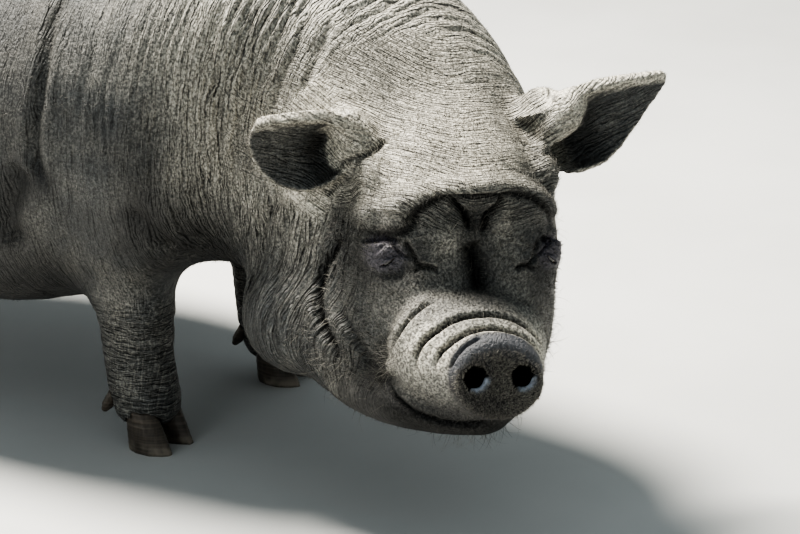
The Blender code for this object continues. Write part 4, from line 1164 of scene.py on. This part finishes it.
# ---------------------------------------------------------------- hair as meshes


class Hide:
    """The finished hide, ready to have hair set on it."""

    def __init__(self, mesh):
        self.points, self.normals, _ = read(mesh)
        self.here = map_of(self.points, self.normals)
        self.faces = column(mesh.polygons, "vertices", 3, np.int32)
        self.tone = fetch(mesh, "tone", 4)
        self.crease = fetch(mesh, "crease", 1, "FLOAT")[:, 0]
        self.lie = lie_of(self.here)
        self.place = unwrap(self.here)
        a, b, c = (self.points[self.faces[:, k]] for k in range(3))
        self.areas = np.linalg.norm(np.cross(b - a, c - a), axis=1) / 2

    def roots(self, density, count, rng):
        """Rows of faces and shares within them, drawn by area times density."""
        chance = self.areas * np.clip(density[self.faces].mean(axis=1), 0, None)
        chosen = rng.choice(len(self.faces), size=count, p=chance / chance.sum())
        first, second = rng.random(count), rng.random(count)
        over = first + second > 1
        first[over], second[over] = 1 - first[over], 1 - second[over]
        return chosen, np.stack([1 - first - second, first, second], axis=1)

    def pick(self, values, chosen, shares):
        return (values[self.faces[chosen]] * shares[:, :, None]).sum(axis=1)


def grow_tufts(name, hide, density, count, length, radius, lift, scatter, seed, bends=1, own_colour=0.5,
               lie=None, pale=0.0, wave=0.06):
    """One closed mesh of tapered tufts: a sunk three-cornered root, one or more bends and a tip."""
    rng = np.random.default_rng(seed)
    chosen, shares = hide.roots(density, count, rng)

    def pick(values):
        return hide.pick(values, chosen, shares)

    root, normal = pick(hide.points), unit(pick(hide.normals))
    side = unit(np.cross(normal, pick(hide.lie if lie is None else lie)))
    way = unit(np.cross(side, normal))
    turn = rng.normal(0, scatter, count)[:, None]
    way, side = way * np.cos(turn) + side * np.sin(turn), side * np.cos(turn) - way * np.sin(turn)
    lengths = length * rng.uniform(0.65, 1.25, count)
    radii = radius * rng.uniform(0.8, 1.25, count)
    lifts = np.clip(lift + rng.normal(0, 0.12, count), 0.03, 1.3)
    curl = rng.normal(0, wave, count)
    rings = bends + 1
    spots, angle = [root - normal * ROOT_DEPTH], lifts
    for k in range(rings):
        heading = way * np.cos(angle)[:, None] + normal * np.sin(angle)[:, None] + side * (curl * k)[:, None]
        step = unit(heading) * (lengths[:, None] / rings)
        spots.append(spots[-1] + step + (normal * ROOT_DEPTH if k == 0 else 0))
        angle = angle - lifts * DROOP * 2 / rings
    spots = [np.clip(spot, *COAT_LIMITS) for spot in spots]
    points = []
    for spot, taper in zip(spots, np.linspace(1.0, 0.45, rings)):
        for corner in range(3):
            spin = 2 * math.pi * corner / 3 + 0.5
            out = side * math.cos(spin) + normal * math.sin(spin) * 0.6
            points.append(spot + out * (radii * taper)[:, None])
    table = np.stack([*points, spots[-1]], axis=1).reshape(-1, 3)
    per = rings * 3 + 1
    pattern = [(0, 2, 1)]
    for k in range(0, rings * 3, 3):
        for a, b in ((k, k + 1), (k + 1, k + 2), (k + 2, k)):
            last = k == rings * 3 - 3
            pattern += [(a, b, per - 1)] if last else [(a, b, b + 3), (a, b + 3, a + 3)]
    faces = (np.arange(count)[:, None, None] * per + np.array(pattern)[None]).reshape(-1, 3)
    mesh = bpy.data.meshes.new(name)
    mesh.vertices.add(len(table))
    mesh.vertices.foreach_set("co", table.astype(np.float32).ravel())
    mesh.loops.add(faces.size)
    mesh.loops.foreach_set("vertex_index", faces.astype(np.int32).ravel())
    mesh.polygons.add(len(faces))
    mesh.polygons.foreach_set("loop_start", np.arange(0, faces.size, 3, dtype=np.int32))
    mesh.polygons.foreach_set("use_smooth", np.ones(len(faces), bool))
    mesh.update(calc_edges=True)
    store(mesh, "tone", np.repeat(pick(hide.tone), per, axis=0))
    shade = np.clip(rng.random(count) + pale, 0, 1)
    share = np.append(np.repeat(np.arange(rings) / rings, 3), 1.0)
    own = np.full(count * per, own_colour)
    rows = [np.repeat(shade, per), np.tile(share, count), own, np.ones(count * per)]
    store(mesh, "tuft", np.stack(rows, axis=1))
    corner_at = np.array([math.cos(2 * math.pi * k / 3) for k in range(3)] * rings + [0.0])
    cell = np.stack([corner_at * TUFT_CELL, share * (2 * TUFT_CELL) - TUFT_CELL], axis=1)
    spread = (pick(hide.place)[:, None, :] + cell[None]).reshape(-1, 2)
    layer = mesh.uv_layers.new(name="OFBake")
    layer.data.foreach_set("uv", spread[faces.ravel()].astype(np.float32).ravel())
    return new_object(name, mesh)


# ---------------------------------------------------------------- settings


def colour_property(label, description, value):
    return bpy.props.FloatVectorProperty(
        name=label, description=description, default=value, size=3, min=0.0, max=1.0, subtype="COLOR"
    )


def number_property(label, description, value, low, high, **kind):
    return bpy.props.FloatProperty(
        name=label, description=description, default=value, min=low, max=high, **kind
    )


def size_property(label, description, value, low, high):
    return number_property(label, description, value, low, high, unit="LENGTH")


def angle_property(label, description, degrees):
    return number_property(label, description, math.radians(degrees), -math.pi, math.pi, subtype="ANGLE")


class PigHideSettings(bpy.types.PropertyGroup):
    """Sizes and colours of the hide."""

    coat_depth: size_property("Coat depth", "How far the hide lies inside the solids", 0.0012, 0.0, 0.004)
    voxel: size_property("Skin step", "Spacing of the hide's points before thinning", 0.0025, 0.0015, 0.008)
    hide_colour: colour_property("Hide", "Bare grey hide between the furrows", (0.082, 0.086, 0.085))
    # Painted shade in the bottoms of the furrows.
    furrow_shade_colour: colour_property("Furrows", "Hide in the bottom of the furrows", (0.010, 0.009, 0.008))
    # Dust, which also paints the light on tops, ridges and swellings.
    dust_and_light_colour: colour_property("Dust", "Dust on the ridges", (0.58, 0.545, 0.465))
    # Darker hide, which also paints the shade under the brow, the jaw and the body, in the creases and in the
    # ears' cups.
    dark_colour: colour_property("Dark hide", "Hide round the eyes, along the back and in the ears",
                                 (0.020, 0.019, 0.018))
    disc_colour: colour_property("Nose disc", "Face of the nose disc", (0.022, 0.020, 0.021))
    # Painted highlight on the moist upper rim of the disc and on the nostrils' walls.
    wet_highlight_colour: colour_property("Disc rim", "Moist upper rim of the disc and nostrils", (0.46, 0.50, 0.57))
    lid_colour: colour_property("Lids", "Bare wrinkled lids", (0.086, 0.076, 0.098))


class PigCoatSettings(bpy.types.PropertyGroup):
    """Sizes of the bristles."""

    fullness: number_property(
        "Fullness", "Share of the usual number of tufts", 1.0, 0.05, 1.2, subtype="FACTOR")
    face_length: size_property("Face hair", "Length of the hair on the face", 0.0064, 0.001, 0.02)
    body_length: size_property("Body hair", "Length of the hair on the body", 0.0085, 0.002, 0.04)
    mane_length: size_property("Mane", "Length of the bristles along the back", 0.022, 0.005, 0.08)
    tuft_radius: size_property("Tuft radius", "Half a tuft's thickness at its root", 0.00022, 0.0001, 0.001)


class PigStageSettings(bpy.types.PropertyGroup):
    """Floor, lamps and camera."""

    floor_size: size_property("Floor", "Width of the floor", 14.0, 2.0, 60.0)
    azimuth: angle_property("Azimuth", "Camera's turn round the pig from its front", -57.54)
    elevation: angle_property("Elevation", "Camera's height as an angle", 19.84)
    distance: size_property("Distance", "Camera's distance from the point it looks at", 2.989, 0.5, 20.0)
    lens: number_property("Lens", "Focal length in millimetres", 138.5, 20.0, 400.0)
    aim: bpy.props.FloatVectorProperty(
        name="Aim", description="Point that the camera looks at", default=(0.1379, -0.2251, 0.1268), size=3,
        subtype="TRANSLATION")
    key_power: number_property("Key lamp", "Power of the lamp overhead, in watts", 200.0, 0.0, 2000.0)
    fill_power: number_property(
        "Fill lamp", "Power of the soft lamp at the camera's side, in watts", 9.0, 0.0, 2000.0)


# ---------------------------------------------------------------- the pieces


class PigSkinOperator(bpy.types.Operator):
    """Makes the one hide that covers all the flesh"""

    bl_idname = "pig.skin"
    bl_label = "Hide"

    def execute(self, context):
        settings = context.scene.pig_hide
        obj = flesh_body(settings.voxel)
        points, _, edges = read(obj.data)
        head = to_head(points)
        ear = ear_share(head)[0]
        in_head = ramp(head[:, 1], 0.16, 0.10)
        low = ramp(points[:, 2], 0.24, 0.14)
        tail = ramp(points[:, 1], 0.52, 0.535)
        heavy = 0.5 * (1 - np.clip(in_head + low + tail, 0, 1))
        points = eased(points, edges, WEIGHT_ROUNDS, heavy)
        light = 0.5 * (1 - 0.6 * ramp(ear, 0.2, 0.6))
        light *= 1 - 0.7 * ramp(to_disc(head)[:, 1], 0.012, 0.004)
        write(obj.data, eased(points, edges, LOOSE_ROUNDS, light * (1 - heavy), 1.04))
        refine(obj, (head[:, 1] < 0.035) & (ear < 0.3))
        away = [away for _, _, away in from_eyes(to_head(read(obj.data)[0]))]
        refine(obj, np.min(away, axis=0) < 0.019)
        points, normals, edges = read(obj.data)
        ear = ear_share(to_head(points))[0]
        points -= normals * (settings.coat_depth * (1 - 0.6 * ear))[:, None]
        write(obj.data, points)
        points = shape_lids(soften_sockets(points, edges))
        write(obj.data, points)
        points, normals, _ = read(obj.data)
        moves, crease = cut_all(points)
        points = hang_brow(points + normals * moves[:, None])
        write(obj.data, points)
        points, normals, _ = read(obj.data)
        here = map_of(points, normals)
        points -= normals * wrinkle_moves(here)[:, None]
        points = keep_off_eyes(points + nostril_ledges(here))
        write(obj.data, points)
        cut_tree = tree_of(points)
        present = sum(len(p.vertices) - 2 for p in obj.data.polygons)
        modify(obj, "TRIANGULATE")
        modify(obj, "DECIMATE", ratio=min(1.0, SKIN_TRIANGLES / present))
        modify(obj, "TRIANGULATE")
        smooth_shaded(obj, hide_material(furrow_group(), marking_group(settings)))
        nearest = [cut_tree.find(spot)[1] for spot in read(obj.data)[0].tolist()]
        map_and_store(obj.data, crease[nearest])
        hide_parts(*FLESH)
        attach(obj, "root")
        return {"FINISHED"}


class PigEyeOperator(bpy.types.Operator):
    """Makes the eyeballs, each with a bulging cornea"""

    bl_idname = "pig.eyes"
    bl_label = "Eyes"

    def execute(self, context):
        material = eye_material()
        for name, side in SIDES.items():
            bpy.ops.object.select_all(action="DESELECT")
            bpy.ops.mesh.primitive_uv_sphere_add(segments=48, ring_count=32, radius=EYE_RADIUS - 0.0002)
            obj = context.object
            obj.name = "eyeball_" + name
            points = read(obj.data)[0]
            reach = np.arccos(np.clip(points[:, 2] / EYE_RADIUS, -1, 1)) / (math.pi / 2)
            angle = angle_of(points[:, 1], points[:, 0])
            write(obj.data, points * (1 + 0.035 * ramp(reach, 0.55, 0.15))[:, None])
            store(obj.data, "iris", np.stack([reach, angle, angle * 0, angle * 0 + 1], axis=1))
            out = Vector(lid_axes(side)[0] @ HEAD_TURN.T)
            turn = out.to_track_quat("Z", "Y").to_matrix().to_4x4()
            obj.data.transform(Matrix.Translation(from_head(EYES[side])) @ turn)
            smooth_shaded(obj, material)
            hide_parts("eye_" + name)
            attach(obj, "root")
        return {"FINISHED"}


class PigClawOperator(bpy.types.Operator):
    """Makes the claws and dewclaws, with rounded edges and growth rings"""

    bl_idname = "pig.claws"
    bl_label = "Claws"

    def execute(self, context):
        material = horn_material()
        for claw in sorted(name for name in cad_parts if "claw" in name):
            small = claw.startswith("dewclaw")
            obj = new_object(claw + "_horn", merged_part(claw, claw + "_horn", 0.0))
            modify(obj, "REMESH", mode="VOXEL", voxel_size=0.0011 if small else 0.0017)
            points, normals, edges = read(obj.data)
            points = eased(points, edges, 6, np.full(len(points), 0.5), 1.02)
            unevenness = noise(points[:, 0] / 0.02, points[:, 1] / 0.02, 5) * 2
            rings = np.sin(points[:, 2] / 0.0034 * math.pi + unevenness)
            wall = ramp(np.abs(normals[:, 2]), 0.8, 0.5)
            points -= normals * (0.00012 + 0.00022 * (rings * 0.5 + 0.5) * wall)[:, None]
            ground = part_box(claw)[0].z
            if not small:
                points[:, 2] = np.where(points[:, 2] < ground + 0.0012, ground, points[:, 2])
            write(obj.data, points)
            smooth_shaded(obj, material)
            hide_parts(claw)
            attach(obj, "root")
        return {"FINISHED"}


class PigCoatOperator(bpy.types.Operator):
    """Sets the hair on the hide, region by region"""

    bl_idname = "pig.coat"
    bl_label = "Coat"

    def execute(self, context):
        settings = context.scene.pig_coat
        hide = Hide(bpy.data.objects["pig_skin"].data)
        here, head, height = hide.here, hide.here.head, hide.points[:, 2]
        material = coat_material(bpy.data.node_groups["hide_markings"])
        bare = np.zeros(len(head))
        for _, _, away in from_eyes(head):
            bare = np.maximum(bare, ramp(away, 0.0165, 0.0145))
        hairy = (1 - bare) * (1 - here.nostril) * ramp(height, 0.028, 0.040)
        hairy *= 1 - 0.85 * hide.crease * ramp(head[:, 1], 0.10, 0.05)
        ears = ramp(here.ear, 0.2, 0.5)
        face = ramp(head[:, 1], 0.05, 0.03) * (1 - here.on_disc)
        crown = (1 - face) * ramp(head[:, 1], 0.14, 0.12) * (1 - ears)
        low = ramp(height, 0.20, 0.17) * (1 - face) * (1 - crown)
        body = (1 - face) * (1 - crown) * (1 - ears) * (1 - low)
        ahead = ramp(here.course, 0.60, 0.63)
        neck, rear = body * ahead, body * (1 - ahead)
        right = (here.sideways < 0).astype(float)
        under_lip = 0.85 * ramp(head[:, 2], -0.106, -0.118) * ramp(here.disc[:, 1], 0.02, 0.03)
        on_face = face * (1 - 0.60 * here.muzzle) * (1 - under_lip)
        disc = here.on_disc * hairy * ramp(here.disc[:, 1], 0.006, 0.002) * (1 - here.disc_rim)
        mane = ramp(here.normals[:, 2], 0.80, 0.97) * ramp(height, 0.38, 0.42) * (1 - face) * hairy
        whiskers = sum_of_blobs(head, WHISKER_SPOTS) * hairy
        lashes = lash_density(here) * (1 - here.nostril)
        short, length, tight = settings.face_length, settings.body_length, settings.tuft_radius

        def grow(name, density, count, length, radius, lift, scatter, own_colour, seed, **more):
            """Grows one piece of the coat and hands it to the frame."""
            obj = grow_tufts(
                "coat_" + name, hide, density, max(20, int(count * settings.fullness)), length, radius, lift,
                scatter, seed, own_colour=own_colour, **more)
            obj.data.materials.append(material)
            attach(obj, "root")

        # Each row: density, tufts, their length and radius, how far they stand up and stray, own colour.
        for seed, (name, density, *row) in enumerate((
            ("face", on_face, 15000, short, tight * 1.2, 0.34, 0.45, 0.50),
            ("crown", crown, 8500, short * 0.9, tight, 0.16, 0.35, 0.12),
            ("neck_right", neck * right, 8500, length * 0.8, tight, 0.12, 0.25, 0.12),
            ("neck_left", neck * (1 - right), 6000, length * 0.85, tight * 1.1, 0.12, 0.25, 0.12),
            ("flank_right", rear * right, 9500, length * 0.9, tight * 1.1, 0.10, 0.25, 0.15),
            ("flank_left", rear * (1 - right), 9000, length * 0.9, tight * 1.15, 0.10, 0.25, 0.15),
            ("legs_belly", low, 9500, length * 0.8, tight * 1.1, 0.16, 0.25, 0.30),
            ("ears", ears, 7500, short * 0.7, tight * 0.8, 0.30, 0.40, 0.30),
        ), start=101):
            grow(name, density * hairy, *row, seed)
        tail = here.tail * ramp(height, 0.235, 0.19)
        grow("disc", disc, 9000, 0.0026, 0.00019, 0.95, 0.7, 0.85, 120, pale=0.40)
        grow("mane", mane, 2600, settings.mane_length, 0.00022, 0.16, 0.30, 0.7, 121, bends=2, wave=0.12)
        grow("tail", tail, 700, 0.050, 0.00028, 0.25, 0.25, 0.9, 122, bends=2, wave=0.12)
        grow("whiskers", whiskers, 520, 0.022, 0.00016, 0.75, 0.8, 0.95, 123, bends=3, pale=0.15, wave=0.18)
        grow("lashes", lashes, 420, 0.0105, 0.00016, 0.55, 0.5, 1.0, 124, bends=2, pale=-0.35, wave=0.12,
             lie=lash_lie(hide))
        return {"FINISHED"}


# Long single hairs: at the lip corners, on the chin, cheeks, brows and muzzle.
WHISKER_SPOTS = (
    ((-80, -46, -86), (12, 14, 16), 1.0), ((78, -46, -86), (12, 14, 16), 1.0),
    ((0, -105, -128), (40, 30, 12), 0.35), ((-90, 0, -90), (30, 50, 30), 0.08),
    ((90, 0, -90), (30, 50, 30), 0.08), ((82, -22, 26), (8, 12, 8), 0.5),
    ((-60, -86, -66), (20, 20, 20), 0.06), ((0, -50, 30), (50, 20, 20), 0.06),
)


def lash_density(here):
    """A row of dark hairs on the edge of the brow over each eye, and on the upper lids."""
    made = np.zeros(len(here.points))
    rows, away, along, gap = near_line(here.head, brow_line(), 0.012)
    over_right = ramp(along, 0.08, 0.14) * ramp(along, 0.42, 0.36)
    over_left = ramp(along, 0.62, 0.70) * ramp(along, 0.94, 0.88)
    edge = np.exp(-(((away - 0.005) / 0.003) ** 2)) * ramp(gap[:, 2], 0.0, 0.003)
    made[rows] = edge * np.maximum(over_right, over_left)
    return made


def lash_lie(hide):
    """The way of the lashes: out and down along the surface."""
    down = np.array((0.0, -0.45, -1.0)) @ HEAD_TURN.T
    return unit(down - hide.normals * (hide.normals @ down)[:, None])


def aimed(obj, target):
    obj.rotation_euler = (Vector(target) - obj.location).to_track_quat("-Z", "Y").to_euler()


def area_lamp(name, place, target, size, power, colour):
    bpy.ops.object.light_add(type="AREA", location=place)
    lamp = bpy.context.object
    lamp.name = name
    lamp.data.shape = "DISK"
    lamp.data.size = size
    lamp.data.energy = power
    lamp.data.color = colour
    aimed(lamp, target)


class PigStageOperator(bpy.types.Operator):
    """Sets out the floor, the lamps and the camera"""

    bl_idname = "pig.stage"
    bl_label = "Stage"

    def execute(self, context):
        settings = context.scene.pig_stage
        bpy.ops.object.select_all(action="DESELECT")
        bpy.ops.mesh.primitive_plane_add(size=settings.floor_size, location=(0, 0, 0))
        floor = context.object
        floor.name = "floor"
        material, tree = new_material("studio_floor")
        place = object_place(tree)
        mottle = span(tree, grain(tree, place, 3.0, 4.0), 0.3, 0.7)
        colour = blend(tree, mottle, (0.60, 0.60, 0.585, 1), (0.66, 0.66, 0.645, 1))
        bump = bump_of(tree, 0.15, 0.0005, grain(tree, place, 900.0))
        principled(material, {"Base Color": colour, "Roughness": 0.85, "Normal": bump})
        floor.data.materials.append(material)
        aim = Vector(settings.aim)
        a, e = settings.azimuth, settings.elevation
        back = Vector((math.sin(a) * math.cos(e), -math.cos(a) * math.cos(e), math.sin(e)))
        bpy.ops.object.camera_add(location=aim + back * settings.distance)
        camera = context.object
        camera.name = "camera"
        aimed(camera, aim)
        camera.data.lens = settings.lens
        camera.data.sensor_width = 36.0
        context.scene.camera = camera
        across = Vector((math.cos(a), math.sin(a), 0.0))
        away = Vector((-math.sin(a), math.cos(a), 0.0))
        centre = Vector((0.0, -0.2, 0.25))
        key = centre + Vector((0, 0, 2.2)) - across * 0.9 + away * 0.75
        area_lamp("key", key, centre, 0.9, settings.key_power, (1.0, 0.955, 0.88))
        fill = centre + Vector((0, 0, 0.9)) - across * 1.6 - away * 2.4
        area_lamp("fill", fill, centre, 1.8, settings.fill_power, (0.90, 0.95, 1.0))
        world = bpy.data.worlds.new("studio")
        world.use_nodes = True
        sky = {"Color": (0.84, 0.94, 0.97, 1), "Strength": 0.36}
        plug(world.node_tree, world.node_tree.nodes["Background"], sky)
        context.scene.world = world
        context.scene.view_settings.look = "AgX - High Contrast"
        return {"FINISHED"}


class PigPanel(bpy.types.Panel):
    """Lists the pieces and their settings"""

    bl_idname = "VIEW3D_PT_pig"
    bl_label = "Pot-bellied pig"
    bl_space_type = "VIEW_3D"
    bl_region_type = "UI"
    bl_category = "Pig"

    def draw(self, context):
        layout = self.layout
        for group_name in ("pig_hide", "pig_coat", "pig_stage"):
            settings = getattr(context.scene, group_name)
            for key in settings.__annotations__:
                layout.prop(settings, key)
        for operator in OPERATORS:
            layout.operator(operator.bl_idname)


OPERATORS = (PigStageOperator, PigSkinOperator, PigEyeOperator, PigClawOperator, PigCoatOperator)
SETTINGS = {"pig_hide": PigHideSettings, "pig_coat": PigCoatSettings, "pig_stage": PigStageSettings}


def register():
    for made in (*SETTINGS.values(), *OPERATORS, PigPanel):
        bpy.utils.register_class(made)
    for name, made in SETTINGS.items():
        setattr(bpy.types.Scene, name, bpy.props.PointerProperty(type=made))


def unregister():
    for name in SETTINGS:
        delattr(bpy.types.Scene, name)
    for made in (PigPanel, *reversed(OPERATORS), *reversed(list(SETTINGS.values()))):
        bpy.utils.unregister_class(made)


def main():
    register()
    bpy.ops.pig.stage()
    bpy.ops.pig.skin()
    bpy.ops.pig.eyes()
    bpy.ops.pig.claws()
    bpy.ops.pig.coat()


if __name__ == "__main__":
    main()
